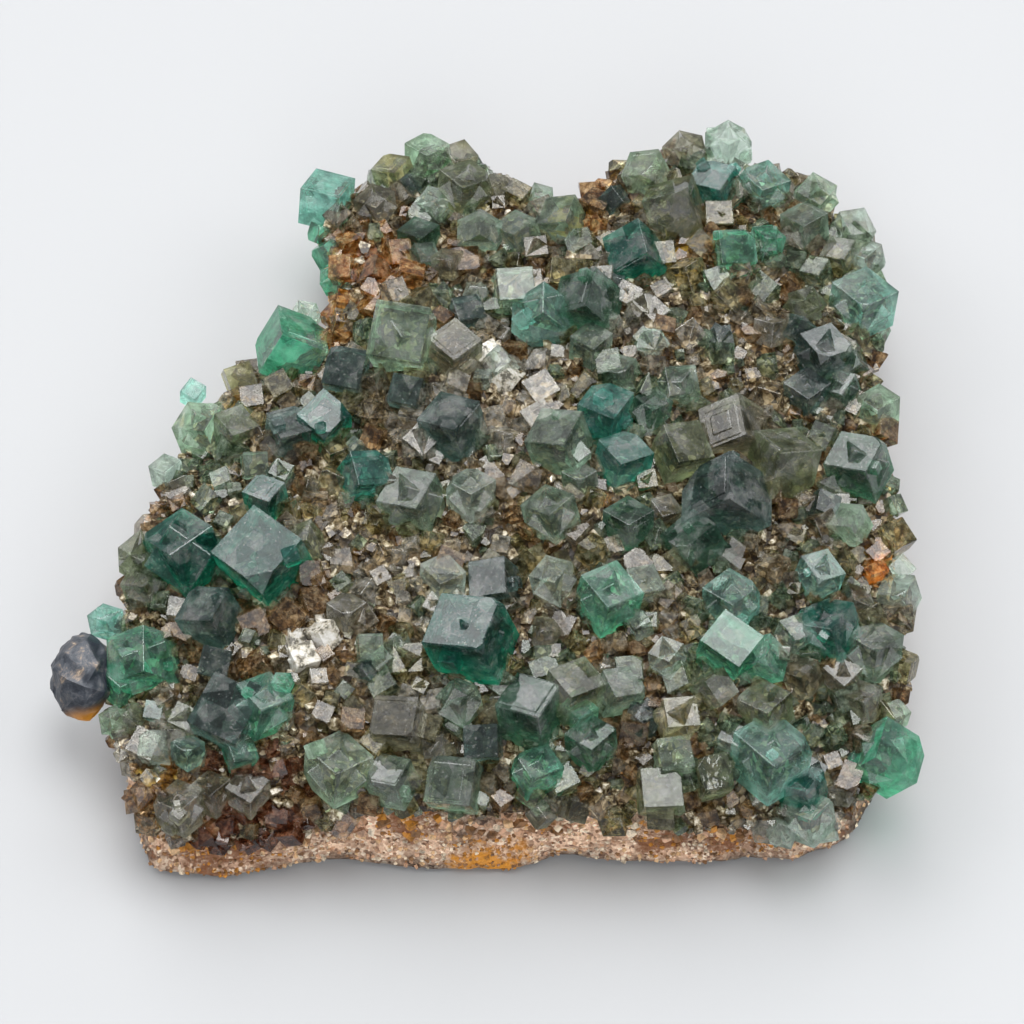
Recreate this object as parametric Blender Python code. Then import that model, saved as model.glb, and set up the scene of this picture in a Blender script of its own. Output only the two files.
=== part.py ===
"""Fluorite specimen: green crystals on a crust of small ones, on a slab of iron-stained rock.

Metres, +Z up. The slab lies on its flat underside at Z = 0, crystals up, and its front faces -Y.
The tables are in millimetres. A crystal's place is read looking down on the front at
VIEW_ELEVATION, as (x, y) on a level plane at SEEN_HEIGHT, and seat() finds it on the crust.
"""

import math
import random

import bmesh
import bpy
from mathutils import Matrix, Vector
from mathutils.bvhtree import BVHTree
from mathutils.geometry import delaunay_2d_cdt

MM = 0.001
SEED = 11
VIEW_ELEVATION = math.radians(65)
SEEN_HEIGHT = 20.0
GAP = 0.3

# Slab and crust
SLAB_CENTRE = (3.0, -2.0)
TOP_HEIGHT = 21.0
DOME_POWER = 3.2
CRUST_THICKNESS = 3.2
CRUST_OVERHANG = 0.8
PLAN_SPACING = 11.0
RIM_MARGIN = 3.4
LEDGE_DEPTH = 1.3
SIDE_LEVELS = (0.35, 0.7)
FOOT_HEIGHT = 1.2
FOOT_INSET = 1.4

# Small crystals that fill the crust between those in the tables
FILL_COUNT = 18
FILL_EDGE = (2.6, 4.2)
FILL_SPACING = 0.62
FILL_LIFT = 0.16

# How far a crystal's middle stands above the crust, as a share of its edge
LARGE_LIFT = 0.24
SMALL_LIFT = 0.20

# The slab's rim, anticlockwise from the right: x, y, height of the crust's edge, inset of the foot
RIM = [
    (56.3, 2, 16, 4), (55.5, 10, 16, 4), (56.3, 16, 15, 4), (54.6, 22, 15, 4), (55, 29, 15, 4),
    (55.3, 35, 15, 5), (54.2, 40.5, 14, 5), (52, 45.5, 14, 5), (48.8, 49.5, 14, 5), (44, 54, 13, 5),
    (38.5, 57, 13, 5), (33, 58.6, 13, 5), (27, 58.8, 13, 5), (21, 57.5, 13, 5), (16.5, 55, 13, 4),
    (13.4, 51.2, 13, 3), (10.5, 48.2, 14, 2), (7.6, 49.8, 14, 3), (4, 52.2, 13, 4), (0, 55, 13, 5),
    (-5, 57, 13, 5), (-10, 57, 13, 5), (-14.5, 55, 13, 5), (-18, 52.6, 14, 4), (-22.3, 51, 14, 4),
    (-24.3, 46.5, 14, 3), (-23.3, 40.5, 14, 3), (-22.1, 35, 15, 2), (-22.6, 30.6, 15, 2),
    (-26.4, 27.8, 15, 3), (-31.4, 24, 15, 4), (-36, 21.2, 14, 4), (-39.4, 17, 14, 4),
    (-42.2, 12.6, 14, 4), (-44.4, 7.4, 14, 4), (-47, 2.4, 14, 4), (-49, -2.6, 14, 4),
    (-50.4, -7.6, 14, 4), (-51, -13, 14, 4), (-52.6, -18, 14, 4), (-53.6, -23.4, 13, 4),
    (-53, -29, 13, 3), (-51.8, -34, 13, 2), (-49.4, -38.6, 13, 1), (-48, -43, 12, 0),
    (-46, -47, 10, -0.6), (-36.5, -48, 9, -0.8), (-28, -46.8, 10, -0.6), (-20, -44.6, 14, -2.2),
    (-12, -44.8, 14, -2.8), (-4, -45, 14, -3), (3.5, -45, 13, -2.6), (9, -44.8, 13, -1.4),
    (19, -45, 13, -1.4), (29, -45.6, 12, -1.2), (36, -45.4, 11, -0.6), (42, -46, 9, -0.2),
    (47.5, -44.8, 9, 0), (51.4, -41.8, 10, 0.4), (54.4, -37.6, 12, 1), (56.6, -32, 14, 3),
    (57.8, -26, 14, 3), (57.2, -19, 15, 3), (57.4, -12, 15, 4), (56.4, -5, 16, 4),
]

# Colours and surface of each kind of fluorite, of the rock and of the galena
TINTS = {
    "deep": (0.02, 0.16, 0.13),
    "teal": (0.04, 0.30, 0.25),
    "emerald": (0.07, 0.42, 0.27),
    "aqua": (0.16, 0.46, 0.40),
    "mint": (0.32, 0.58, 0.38),
    "sage": (0.17, 0.30, 0.24),
    "forest": (0.07, 0.18, 0.13),
    "moss": (0.19, 0.25, 0.13),
    "slate": (0.12, 0.16, 0.18),
    "smoky": (0.24, 0.23, 0.18),
    "honey": (0.36, 0.33, 0.14),
    "ice": (0.48, 0.56, 0.48),
}
CRYSTAL_ROUGHNESS = 0.12
CRUST_COLOUR, CRUST_ROUGHNESS = (0.22, 0.19, 0.13), 0.35
ROCK_COLOUR, ROCK_ROUGHNESS = (0.46, 0.30, 0.20), 0.9
GALENA_COLOUR, GALENA_ROUGHNESS, GALENA_METALLIC = (0.13, 0.14, 0.16), 0.4, 0.8

# Large crystals: x, y, edge, how its three edges run from the near corner (degrees, as seen),
# size of the penetrating twin as a share of the crystal (0 is none), tint
LARGE = [
    (-23.2, 46.8, 5.8, (55, 165, 265), 0, "aqua"),
    (-3.6, 48.6, 5.5, (20, 140, 262), 0.9, "moss"),
    (10.0, 43.2, 5.2, (70, 185, 300), 0, "sage"),
    (3.2, 32.6, 5.0, (4, 97, 240), 0, "sage"),
    (7.4, 28.0, 6.2, (88, 212, 325), 0.92, "aqua"),
    (13.6, 30.2, 7.0, (75, 195, 320), 0, "forest"),
    (-12.2, 24.8, 8.2, (79, 171, 300), 0.8, "mint"),
    (-20.0, 19.6, 5.6, (78, 170, 290), 0, "slate"),
    (-5.0, 22.7, 5.8, (36, 140, 268), 0, "smoky"),
    (-27.8, 23.6, 7.2, (100, 237, 340), 0, "emerald"),
    (-40.2, 10.8, 5.4, (60, 175, 290), 0.85, "mint"),
    (-28.0, 10.2, 5.0, (15, 120, 262), 0, "slate"),
    (-23.0, 12.0, 5.6, (45, 141, 270), 0, "deep"),
    (-17.2, 3.6, 5.4, (2, 105, 230), 0, "teal"),
    (-10.6, -0.4, 6.6, (60, 170, 295), 0.9, "sage"),
    (-2.6, 0.8, 4.8, (30, 150, 270), 0.9, "ice"),
    (-5.2, 11.0, 6.4, (50, 165, 285), 0, "slate"),
    (-42.0, -8.0, 7.4, (35, 150, 290), 0.95, "deep"),
    (-31.0, -9.2, 9.4, (48, 145, 295), 0.62, "deep"),
    (-38.3, -17.8, 6.2, (63, 178, 300), 0, "slate"),
    (-47.6, -24.3, 6.8, (92, 200, 340), 0.9, "emerald"),
    (-35.6, -32.5, 7.6, (61, 155, 290), 0, "slate"),
    (-31.0, -31.0, 6.2, (20, 135, 255), 0.9, "emerald"),
    (-42.0, -46.4, 5.2, (40, 160, 280), 0.85, "smoky"),
    (-20.6, -40.4, 6.8, (25, 140, 265), 0.88, "mint"),
    (-13.3, -42.3, 5.2, (60, 170, 290), 0, "sage"),
    (-4.8, -42.8, 6.4, (82, 175, 310), 0, "sage"),
    (-2.6, -21.0, 8.8, (68, 175, 297), 0.7, "deep"),
    (0.6, -12.6, 5.4, (92, 190, 320), 0, "slate"),
    (16.2, -15.0, 6.4, (22, 130, 255), 0.86, "emerald"),
    (-12.3, -33.8, 6.0, (80, 178, 300), 0, "smoky"),
    (5.6, -32.0, 6.6, (55, 165, 280), 0, "forest"),
    (11.5, -28.8, 6.0, (20, 130, 255), 0, "moss"),
    (6.4, -40.8, 4.9, (20, 125, 255), 0.9, "emerald"),
    (13.8, -36.6, 5.2, (40, 150, 275), 0.85, "forest"),
    (17.6, -28.8, 4.8, (8, 115, 240), 0, "sage"),
    (33.0, -15.4, 5.8, (35, 150, 270), 0.88, "aqua"),
    (32.6, -22.3, 6.2, (50, 145, 255), 0, "emerald"),
    (37.2, -24.2, 5.0, (75, 195, 315), 0, "emerald"),
    (46.6, -19.7, 6.2, (48, 172, 290), 0.8, "deep"),
    (52.3, -22.9, 5.8, (30, 150, 265), 0.9, "sage"),
    (45.2, -11.5, 4.8, (15, 125, 250), 0.9, "aqua"),
    (37.6, -31.6, 5.4, (40, 155, 280), 0, "moss"),
    (38.2, -38.8, 7.8, (28, 140, 262), 0.75, "aqua"),
    (42.6, -43.6, 4.8, (50, 165, 285), 0, "deep"),
    (54.3, -38.9, 7.0, (72, 212, 328), 0.8, "emerald"),
    (23.0, -43.8, 5.4, (2, 95, 240), 0, "moss"),
    (30.2, -41.7, 4.9, (12, 108, 240), 0, "moss"),
    (43.6, -48.0, 5.0, (40, 160, 280), 0.9, "ice"),
    (32.6, 0.0, 8.4, (88, 207, 328), 0, "slate"),
    (28.2, -6.6, 6.0, (40, 145, 300), 0, "forest"),
    (33.8, 10.8, 6.8, (100, 202, 330), 0, "smoky"),
    (40.4, 5.6, 7.2, (5, 138, 258), 0, "moss"),
    (51.0, 5.0, 7.0, (60, 170, 290), 0.85, "forest"),
    (46.2, 22.4, 5.6, (20, 130, 250), 0.9, "slate"),
    (52.2, 30.4, 6.6, (25, 140, 262), 0.85, "aqua"),
    (44.3, 42.4, 5.0, (30, 150, 275), 0, "sage"),
    (38.5, 48.6, 5.2, (20, 135, 260), 0.9, "aqua"),
    (31.6, 48.8, 5.4, (55, 165, 285), 0, "teal"),
    (26.0, 45.0, 6.8, (68, 195, 290), 0, "moss"),
    (22.0, 50.8, 4.9, (70, 185, 300), 0, "mint"),
    (33.8, 55.4, 4.9, (30, 150, 270), 1.0, "ice"),
    (20.3, 38.0, 6.2, (104, 209, 320), 0, "deep"),
    (34.2, 38.6, 4.9, (3, 96, 230), 0, "emerald"),
    (15.8, 13.2, 6.0, (53, 158, 265), 0.8, "teal"),
    (9.6, 8.6, 6.6, (62, 175, 292), 0, "sage"),
    (18.4, 6.0, 5.6, (18, 132, 258), 0, "teal"),
    (26.5, 7.3, 6.0, (8, 112, 238), 0, "moss"),
    (8.4, -2.2, 5.6, (40, 160, 285), 0.9, "sage"),
    (19.0, -3.8, 5.0, (30, 150, 270), 0, "forest"),
]

# Smaller crystals, grown into the crust: x, y, edge, edges as seen
SMALL = [
    (-9.0, 53.8, 4.6, (30, 150, 270)), (-13.7, 51.0, 4.2, (50, 170, 290)),
    (-4.5, 53.3, 3.8, (20, 130, 260)), (-10.0, 40.3, 4.3, (40, 160, 275)),
    (-1.5, 41.3, 4.4, (88, 205, 330)), (3.8, 41.3, 4.6, (35, 155, 285)),
    (14.0, 23.6, 4.4, (40, 150, 268)), (-11.5, 16.3, 4.2, (75, 168, 300)),
    (-3.2, 28.6, 4.0, (10, 110, 255)), (-26.0, 28.4, 3.0, (60, 170, 290)),
    (-35.5, 10.5, 4.6, (20, 130, 255)), (-45.0, 4.2, 3.4, (40, 160, 280)),
    (-32.6, 5.2, 3.4, (2, 94, 230)), (-31.0, 0.3, 4.4, (50, 160, 280)),
    (-25.4, -6.5, 4.0, (80, 200, 310)), (-48.0, -8.8, 4.6, (40, 150, 270)),
    (-47.8, -13.0, 4.2, (60, 175, 290)), (-50.6, -27.8, 4.4, (25, 140, 260)),
    (-52.8, -18.6, 3.4, (-6, 87, 222)), (-34.0, -38.2, 3.6, (10, 110, 240)),
    (-45.7, -37.3, 3.8, (85, 180, 300)), (-41.2, -38.0, 3.4, (30, 150, 270)),
    (-37.8, -44.3, 4.2, (40, 160, 285)), (-33.0, -44.0, 4.6, (50, 150, 270)),
    (-6.5, -12.0, 4.6, (25, 135, 265)), (8.7, -12.3, 4.4, (50, 165, 285)),
    (20.8, -13.2, 4.2, (10, 115, 245)), (-4.1, -30.5, 4.2, (45, 160, 285)),
    (-0.8, -36.6, 4.6, (92, 184, 318)), (12.2, -32.4, 3.6, (30, 140, 265)),
    (41.8, -20.6, 4.2, (20, 130, 250)), (49.5, -3.8, 4.2, (60, 175, 300)),
    (42.4, -26.8, 4.2, (45, 165, 285)), (24.9, -38.6, 4.6, (8, 102, 235)),
    (25.7, -32.8, 4.4, (4, 100, 245)), (24.2, -23.8, 3.6, (50, 160, 280)),
    (56.3, -14.6, 4.4, (60, 175, 290)), (54.0, 14.0, 4.4, (30, 145, 270)),
    (44.0, 16.3, 4.6, (35, 145, 268)), (48.6, 16.8, 4.2, (55, 165, 290)),
    (51.2, 42.0, 4.2, (10, 115, 245)), (52.8, 37.6, 3.8, (40, 160, 285)),
    (49.2, 37.8, 4.0, (60, 170, 290)), (46.0, 47.2, 4.2, (50, 150, 265)),
    (27.6, 54.3, 4.2, (45, 165, 285)), (38.8, 39.8, 3.6, (88, 182, 300)),
    (26.2, 17.6, 4.4, (5, 100, 235)), (22.4, 13.8, 3.8, (25, 140, 260)),
    (18.0, 19.3, 3.8, (50, 165, 280)), (12.4, 2.8, 3.6, (30, 150, 275)),
    (24.0, -2.0, 3.4, (15, 125, 250)), (-19.6, -17.2, 4.0, (35, 150, 270)),
    (-16.4, -22.4, 3.4, (2, 94, 235)), (-16.2, 45.6, 4.2, (45, 160, 280)),
    (51.0, -30.6, 4.0, (40, 160, 280)), (33.2, -36.0, 3.2, (60, 160, 280)),
]

# Galena lump at the left rim: centre, half sizes
GALENA_CENTRE = Vector((-56.2, -23.8, 13.2))
GALENA_HALF = Vector((4.9, 6.6, 5.4))
GALENA_ROUGHEN = 0.09

VIEW_RIGHT = Vector((1, 0, 0))
VIEW_UP = Vector((0, math.sin(VIEW_ELEVATION), math.cos(VIEW_ELEVATION)))
VIEW_TOWARDS = Vector((0, -math.cos(VIEW_ELEVATION), math.sin(VIEW_ELEVATION)))
CUBE_CORNERS = [Vector((i, j, k)) / 2 for i in (-1, 1) for j in (-1, 1) for k in (-1, 1)]
CUBE_FACES = [(0, 1, 3, 2), (4, 6, 7, 5), (0, 4, 5, 1), (2, 3, 7, 6), (0, 2, 6, 4), (1, 5, 7, 3)]


def rim_polar():
    """The rim as (angle, radius, height), by angle round the slab's centre."""
    cx, cy = SLAB_CENTRE
    rows = [(math.atan2(y - cy, x - cx), math.hypot(x - cx, y - cy), z) for x, y, z, _ in RIM]
    rows.sort()
    first, last = rows[0], rows[-1]
    turn = 2 * math.pi
    return [(last[0] - turn, *last[1:]), *rows, (first[0] + turn, *first[1:])]


RIM_POLAR = rim_polar()


def rim_towards(x, y):
    """Share of the way from the slab's centre to its rim, and the rim's height there."""
    cx, cy = SLAB_CENTRE
    angle = math.atan2(y - cy, x - cx)
    for a, b in zip(RIM_POLAR, RIM_POLAR[1:]):
        if a[0] <= angle <= b[0]:
            share = (angle - a[0]) / (b[0] - a[0])
            radius = a[1] + (b[1] - a[1]) * share
            return math.hypot(x - cx, y - cy) / radius, a[2] + (b[2] - a[2]) * share
    raise ValueError("angle outside the rim's table")


def crust_height(x, y):
    """Height of the crust's top, in millimetres. Past the rim it falls away."""
    out, rim_height = rim_towards(x, y)
    swell = 1 - min(out, 1) ** DOME_POWER
    waves = 0.7 * math.sin(0.13 * x + 0.9) * math.cos(0.11 * y)
    waves += 0.5 * math.sin(0.21 * x + 0.17 * y) + 0.35 * math.cos(0.33 * x - 0.27 * y)
    fall = 18 * max(out - 1, 0)
    return rim_height + (TOP_HEIGHT - rim_height) * swell + waves - fall


def seat(x, seen_y, lift):
    """The point lift above the crust that shows at (x, seen_y)."""
    y = seen_y
    for _ in range(8):
        z = crust_height(x, y) + lift
        y = seen_y - (z - SEEN_HEIGHT) / math.tan(VIEW_ELEVATION)
    return Vector((x, y, z))


def cube_axes(angles):
    """A cube's three edge directions, from how they run from its near corner as seen."""
    a, b, c = (math.radians(v) for v in angles)
    squares = [math.sin(2 * (c - b)), math.sin(2 * (a - c)), math.sin(2 * (b - a))]
    edges = []
    for angle, square in zip((a, b, c), squares):
        share = 2 * square / sum(squares)
        across = math.cos(angle) * VIEW_RIGHT + math.sin(angle) * VIEW_UP
        edges.append(math.sqrt(share) * across - math.sqrt(max(1 - share, 0)) * VIEW_TOWARDS)
    turned = Matrix(edges).transposed()
    return turned if turned.determinant() > 0 else turned @ Matrix.Diagonal((1, 1, -1))


def cubes_of(centre, edge, turned, twin=0.0):
    """Corner lists of a crystal's cube and, if it has one, of the twin turned 60 degrees."""
    frames = [(turned, edge)]
    if twin:
        diagonal = turned @ Vector((1, 1, 1))
        frames.append((Matrix.Rotation(math.radians(60), 3, diagonal) @ turned, edge * twin))
    return [[centre + frame @ corner * size for corner in CUBE_CORNERS] for frame, size in frames]


def mesh_object(name, corners, faces):
    """An object of these corners, in millimetres, and faces, with its normals outwards."""
    shape = bmesh.new()
    verts = [shape.verts.new(Vector(corner) * MM) for corner in corners]
    for face in faces:
        shape.faces.new([verts[i] for i in face])
    bmesh.ops.recalc_face_normals(shape, faces=shape.faces)
    mesh = bpy.data.meshes.new(name)
    shape.to_mesh(mesh)
    shape.free()
    made = bpy.data.objects.new(name, mesh)
    bpy.context.scene.collection.objects.link(made)
    return made


def cubes_object(name, cubes):
    """One object that holds these cubes, each a closed shape of its own."""
    corners = [corner for cube in cubes for corner in cube]
    faces = [[8 * n + i for i in face] for n in range(len(cubes)) for face in CUBE_FACES]
    return mesh_object(name, corners, faces)


def boolean(body, tool, operation):
    """Joins tool to body, or cuts it away, and removes tool."""
    modifier = body.modifiers.new("join", "BOOLEAN")
    modifier.operation = operation
    modifier.solver = "EXACT"
    modifier.use_self = True
    modifier.object = tool
    apply_modifiers(body)
    bpy.data.objects.remove(tool)


def apply_modifiers(body):
    """Puts the mesh that the modifiers make in place of the body's own."""
    bpy.context.view_layer.update()
    graph = bpy.context.evaluated_depsgraph_get()
    made = bpy.data.meshes.new_from_object(body.evaluated_get(graph))
    body.modifiers.clear()
    body.data = made


def tidy(body):
    """Merges what a Boolean left doubled, and drops the crumbs that it cut loose."""
    shape = bmesh.new()
    shape.from_mesh(body.data)
    bmesh.ops.remove_doubles(shape, verts=shape.verts, dist=0.01 * MM)
    bmesh.ops.dissolve_degenerate(shape, edges=shape.edges, dist=0.01 * MM)
    bmesh.ops.dissolve_limit(
        shape, angle_limit=math.radians(0.1), verts=shape.verts, edges=shape.edges
    )
    bmesh.ops.triangulate(shape, faces=shape.faces)
    islands = islands_of(shape)
    keep = max(islands, key=len)
    crumbs = [vert for island in islands if island is not keep for vert in island]
    bmesh.ops.delete(shape, geom=crumbs, context="VERTS")
    shape.to_mesh(body.data)
    shape.free()


def islands_of(shape):
    """The bmesh's vertices, as one list for each connected island."""
    left, islands = set(shape.verts), []
    while left:
        edge_of_island = [left.pop()]
        island = list(edge_of_island)
        while edge_of_island:
            vert = edge_of_island.pop()
            for link in vert.link_edges:
                other = link.other_vert(vert)
                if other in left:
                    left.remove(other)
                    island.append(other)
                    edge_of_island.append(other)
        islands.append(island)
    return islands


def material(name, colour, roughness, metallic=0.0, transmission=0.0):
    """A plain Principled material."""
    made = bpy.data.materials.new(name)
    made.use_nodes = True
    made.diffuse_color = (*colour, 1)
    shader = made.node_tree.nodes["Principled BSDF"]
    shader.inputs["Base Color"].default_value = (*colour, 1)
    shader.inputs["Roughness"].default_value = roughness
    shader.inputs["Metallic"].default_value = metallic
    shader.inputs["Transmission Weight"].default_value = transmission
    return made


def plan():
    """The slab from above: rim and inner points, and the triangles between them."""
    rim = [Vector(row[:2]) for row in RIM]
    inner = []
    rows = int(60 / PLAN_SPACING) + 1
    for row in range(-rows, rows + 1):
        for column in range(-rows - 2, rows + 3):
            x = (column + 0.5 * (row % 2)) * PLAN_SPACING
            y = row * PLAN_SPACING * math.sqrt(0.75)
            out, _ = rim_towards(x, y)
            reach = math.hypot(x - SLAB_CENTRE[0], y - SLAB_CENTRE[1])
            if out < 1 and reach * (1 / max(out, 0.01) - 1) > RIM_MARGIN:
                inner.append(Vector((x, y)))
    made = delaunay_2d_cdt(rim + inner, [], [list(range(len(rim)))], 1, 0.001)
    return made[0], made[2]


def drawn_in(point, inset):
    """A rim point moved towards the slab's centre."""
    inwards = (Vector(SLAB_CENTRE) - point).normalized()
    return point + inwards * inset


def build_crust(points, triangles):
    """The crust: a sheet of even thickness over the rock, closed at its rim."""
    count, rim_count = len(points), len(RIM)
    tops = [(p.x, p.y, crust_height(p.x, p.y)) for p in points]
    corners = tops + [(x, y, z - CRUST_THICKNESS) for x, y, z in tops]
    faces = [list(t) for t in triangles] + [[count + i for i in reversed(t)] for t in triangles]
    for i in range(rim_count):
        j = (i + 1) % rim_count
        faces.append([i, count + i, count + j, j])
    return mesh_object("druse_crust", corners, faces)


def build_rock(points, triangles, chance):
    """The rock under the crust: ledged, broken sides down to a flat underside."""
    rim_count = len(RIM)
    under = CRUST_THICKNESS + GAP
    corners = []
    for i, p in enumerate(points):
        place = drawn_in(p, CRUST_OVERHANG) if i < rim_count else p
        corners.append((place.x, place.y, crust_height(p.x, p.y) - under))
    faces = [list(t) for t in triangles]
    upper = list(range(rim_count))
    for level in (*SIDE_LEVELS, 1.0):
        lower = []
        for i, (x, y, _, inset) in enumerate(RIM):
            top = corners[i][2]
            draw = CRUST_OVERHANG + (inset - CRUST_OVERHANG) * level
            height = FOOT_HEIGHT + (top - FOOT_HEIGHT) * (1 - level)
            if level < 1:
                draw += chance.uniform(-0.4, 1) * LEDGE_DEPTH
                height += chance.uniform(-0.5, 0.5)
            place = drawn_in(Vector((x, y)), draw)
            lower.append(len(corners))
            corners.append((place.x, place.y, height))
        faces += ring_faces(upper, lower)
        upper = lower
    foot = []
    for x, y, _, inset in RIM:
        place = drawn_in(Vector((x, y)), inset + FOOT_INSET)
        foot.append(len(corners))
        corners.append((place.x, place.y, 0))
    faces += ring_faces(upper, foot)
    faces.append(foot)
    rock = mesh_object("rock_matrix", corners, faces)
    return rock


def ring_faces(upper, lower):
    """The quads between two rings of corners."""
    count = len(upper)
    return [[upper[i], lower[i], lower[(i + 1) % count], upper[(i + 1) % count]] for i in range(count)]


def fill_crystals(chance, taken):
    """Small crystals strewn over the crust, clear of the places in taken."""
    made, places = [], list(taken)
    while len(made) < FILL_COUNT:
        x, y = chance.uniform(-54, 57), chance.uniform(-48, 59)
        edge = chance.uniform(*FILL_EDGE)
        turned = Matrix.Rotation(chance.uniform(0, 2 * math.pi), 3, "Z")
        turned @= Matrix.Rotation(math.radians(chance.uniform(8, 62)), 3, "X")
        turned @= Matrix.Rotation(chance.uniform(0, 2 * math.pi), 3, "Z")
        out, _ = rim_towards(x, y)
        clear = all((x - a) ** 2 + (y - b) ** 2 > (FILL_SPACING * (edge + e)) ** 2 for a, b, e in places)
        if out > 0.985 or not clear:
            continue
        places.append((x, y, edge))
        centre = Vector((x, y, crust_height(x, y) + FILL_LIFT * edge))
        made += cubes_of(centre, edge, turned)
    return made


def groups_of(crystals):
    """The crystals' indices, those that overlap together."""
    trees = []
    for cubes in crystals:
        corners = [corner for cube in cubes for corner in cube]
        faces = [[8 * n + i for i in face] for n in range(len(cubes)) for face in CUBE_FACES]
        trees.append(BVHTree.FromPolygons(corners, faces))
    group = list(range(len(crystals)))
    for i, first in enumerate(trees):
        for j in range(i):
            if first.overlap(trees[j]):
                old, new = group[i], group[j]
                group = [new if g == old else g for g in group]
    return [[i for i, g in enumerate(group) if g == label] for label in sorted(set(group))]


def build_galena(chance):
    """The galena lump: a rough ball, flattened to its half sizes."""
    shape = bmesh.new()
    bmesh.ops.create_icosphere(shape, subdivisions=2, radius=1)
    for vert in shape.verts:
        vert.co *= 1 + chance.uniform(-1, 1) * GALENA_ROUGHEN
    corners = [GALENA_CENTRE + Vector(a * b for a, b in zip(v.co, GALENA_HALF)) for v in shape.verts]
    faces = [[v.index for v in face.verts] for face in shape.faces]
    shape.free()
    return corners, faces


def swollen(corners, centre, by):
    """These corners moved outwards from centre, each by the same length."""
    return [corner + (corner - centre).normalized() * by for corner in corners]


def cut_sockets(body, sockets):
    """Room in body for each large crystal, one at a time."""
    for cubes in sockets:
        boolean(body, cubes_object("socket", cubes), "DIFFERENCE")
    tidy(body)


def main():
    for old in list(bpy.data.objects):
        bpy.data.objects.remove(old)
    chance = random.Random(SEED)

    # Rock and crust
    points, triangles = plan()
    rock = build_rock(points, triangles, chance)
    crust = build_crust(points, triangles)

    # Large crystals, and sockets for them that are GAP wider all round
    crystals, sockets = [], []
    for x, y, edge, angles, twin, _ in LARGE:
        centre, turned = seat(x, y, edge * LARGE_LIFT), cube_axes(angles)
        crystals.append(cubes_of(centre, edge, turned, twin))
        grown = edge + 2 * GAP
        grown_twin = (edge * twin + 2 * GAP) / grown if twin else 0
        sockets.append(cubes_of(centre, grown, turned, grown_twin))
    galena_corners, galena_faces = build_galena(chance)

    # Small crystals fused into the crust
    small = []
    for x, y, edge, angles in SMALL:
        small += cubes_of(seat(x, y, edge * SMALL_LIFT), edge, cube_axes(angles))
    taken = []
    for row in [*LARGE, *SMALL]:
        place = seat(row[0], row[1], 0)
        taken.append((place.x, place.y, row[2] * 1.05))
    small += fill_crystals(chance, taken)
    boolean(crust, cubes_object("small_crystals", small), "UNION")

    # Sockets and the galena's bed
    for body in (crust, rock):
        bed_corners = swollen(galena_corners, GALENA_CENTRE, 1.5 * GAP)
        boolean(body, mesh_object("galena_bed", bed_corners, galena_faces), "DIFFERENCE")
        cut_sockets(body, sockets)
    crust.data.materials.append(material("crust", CRUST_COLOUR, CRUST_ROUGHNESS, transmission=0.2))
    rock.data.materials.append(material("rock", ROCK_COLOUR, ROCK_ROUGHNESS))

    # Crystal nodes: one for each crystal, or for each group grown together
    finishes = {
        tint: material(f"fluorite_{tint}", colour, CRYSTAL_ROUGHNESS, transmission=0.85)
        for tint, colour in TINTS.items()
    }
    groups = groups_of(crystals)
    used = {}
    for group in groups:
        tint = max((LARGE[i] for i in group), key=lambda row: row[2])[5]
        used[tint] = used.get(tint, 0) + 1
        kind = "crystal" if len(group) == 1 else "cluster"
        name = f"{tint}_{kind}_{used[tint]:02d}"
        cubes = [cube for i in group for cube in crystals[i]]
        body = cubes_object(name, cubes[:1])
        if len(cubes) > 1:
            boolean(body, cubes_object("grown_on", cubes[1:]), "UNION")
        tidy(body)
        body.data.materials.clear()
        body.data.materials.append(finishes[tint])

    # Galena, clear of the crystals beside it
    galena = mesh_object("galena_lump", galena_corners, galena_faces)
    cut_sockets(galena, sockets)
    galena.data.materials.append(
        material("galena", GALENA_COLOUR, GALENA_ROUGHNESS, metallic=GALENA_METALLIC)
    )


main()
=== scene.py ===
"""Looks of a fluorite specimen: clear green crystals on a crust of small ones, on stained rock.

The slab lies on its underside with the crystals up. Sizes are in metres: MM turns the
millimetres in the tables into metres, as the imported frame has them.
"""
import math
import random

import bmesh
import bpy
import numpy as np
from mathutils import Euler, Matrix, Vector, noise
from mathutils.bvhtree import BVHTree


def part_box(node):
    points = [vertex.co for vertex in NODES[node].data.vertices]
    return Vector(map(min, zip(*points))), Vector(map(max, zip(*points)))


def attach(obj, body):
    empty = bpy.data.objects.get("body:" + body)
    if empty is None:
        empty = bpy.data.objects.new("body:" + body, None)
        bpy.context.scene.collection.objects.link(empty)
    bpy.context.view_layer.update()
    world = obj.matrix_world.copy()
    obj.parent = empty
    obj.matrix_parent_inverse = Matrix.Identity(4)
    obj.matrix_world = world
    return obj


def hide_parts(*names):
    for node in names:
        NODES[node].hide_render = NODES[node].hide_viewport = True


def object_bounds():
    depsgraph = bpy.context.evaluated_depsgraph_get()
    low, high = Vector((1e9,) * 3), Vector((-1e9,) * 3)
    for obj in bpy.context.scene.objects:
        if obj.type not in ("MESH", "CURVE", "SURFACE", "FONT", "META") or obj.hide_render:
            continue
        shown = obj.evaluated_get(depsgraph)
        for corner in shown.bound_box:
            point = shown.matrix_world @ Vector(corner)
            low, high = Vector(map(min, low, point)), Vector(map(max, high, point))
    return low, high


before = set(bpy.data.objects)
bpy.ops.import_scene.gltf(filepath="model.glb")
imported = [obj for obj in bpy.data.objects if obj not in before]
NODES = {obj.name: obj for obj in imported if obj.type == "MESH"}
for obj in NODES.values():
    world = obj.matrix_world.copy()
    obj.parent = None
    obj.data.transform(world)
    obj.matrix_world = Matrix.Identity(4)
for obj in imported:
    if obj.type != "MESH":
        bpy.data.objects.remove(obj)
cad_low, cad_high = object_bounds()

MM = 0.001
SEED = 27

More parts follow.
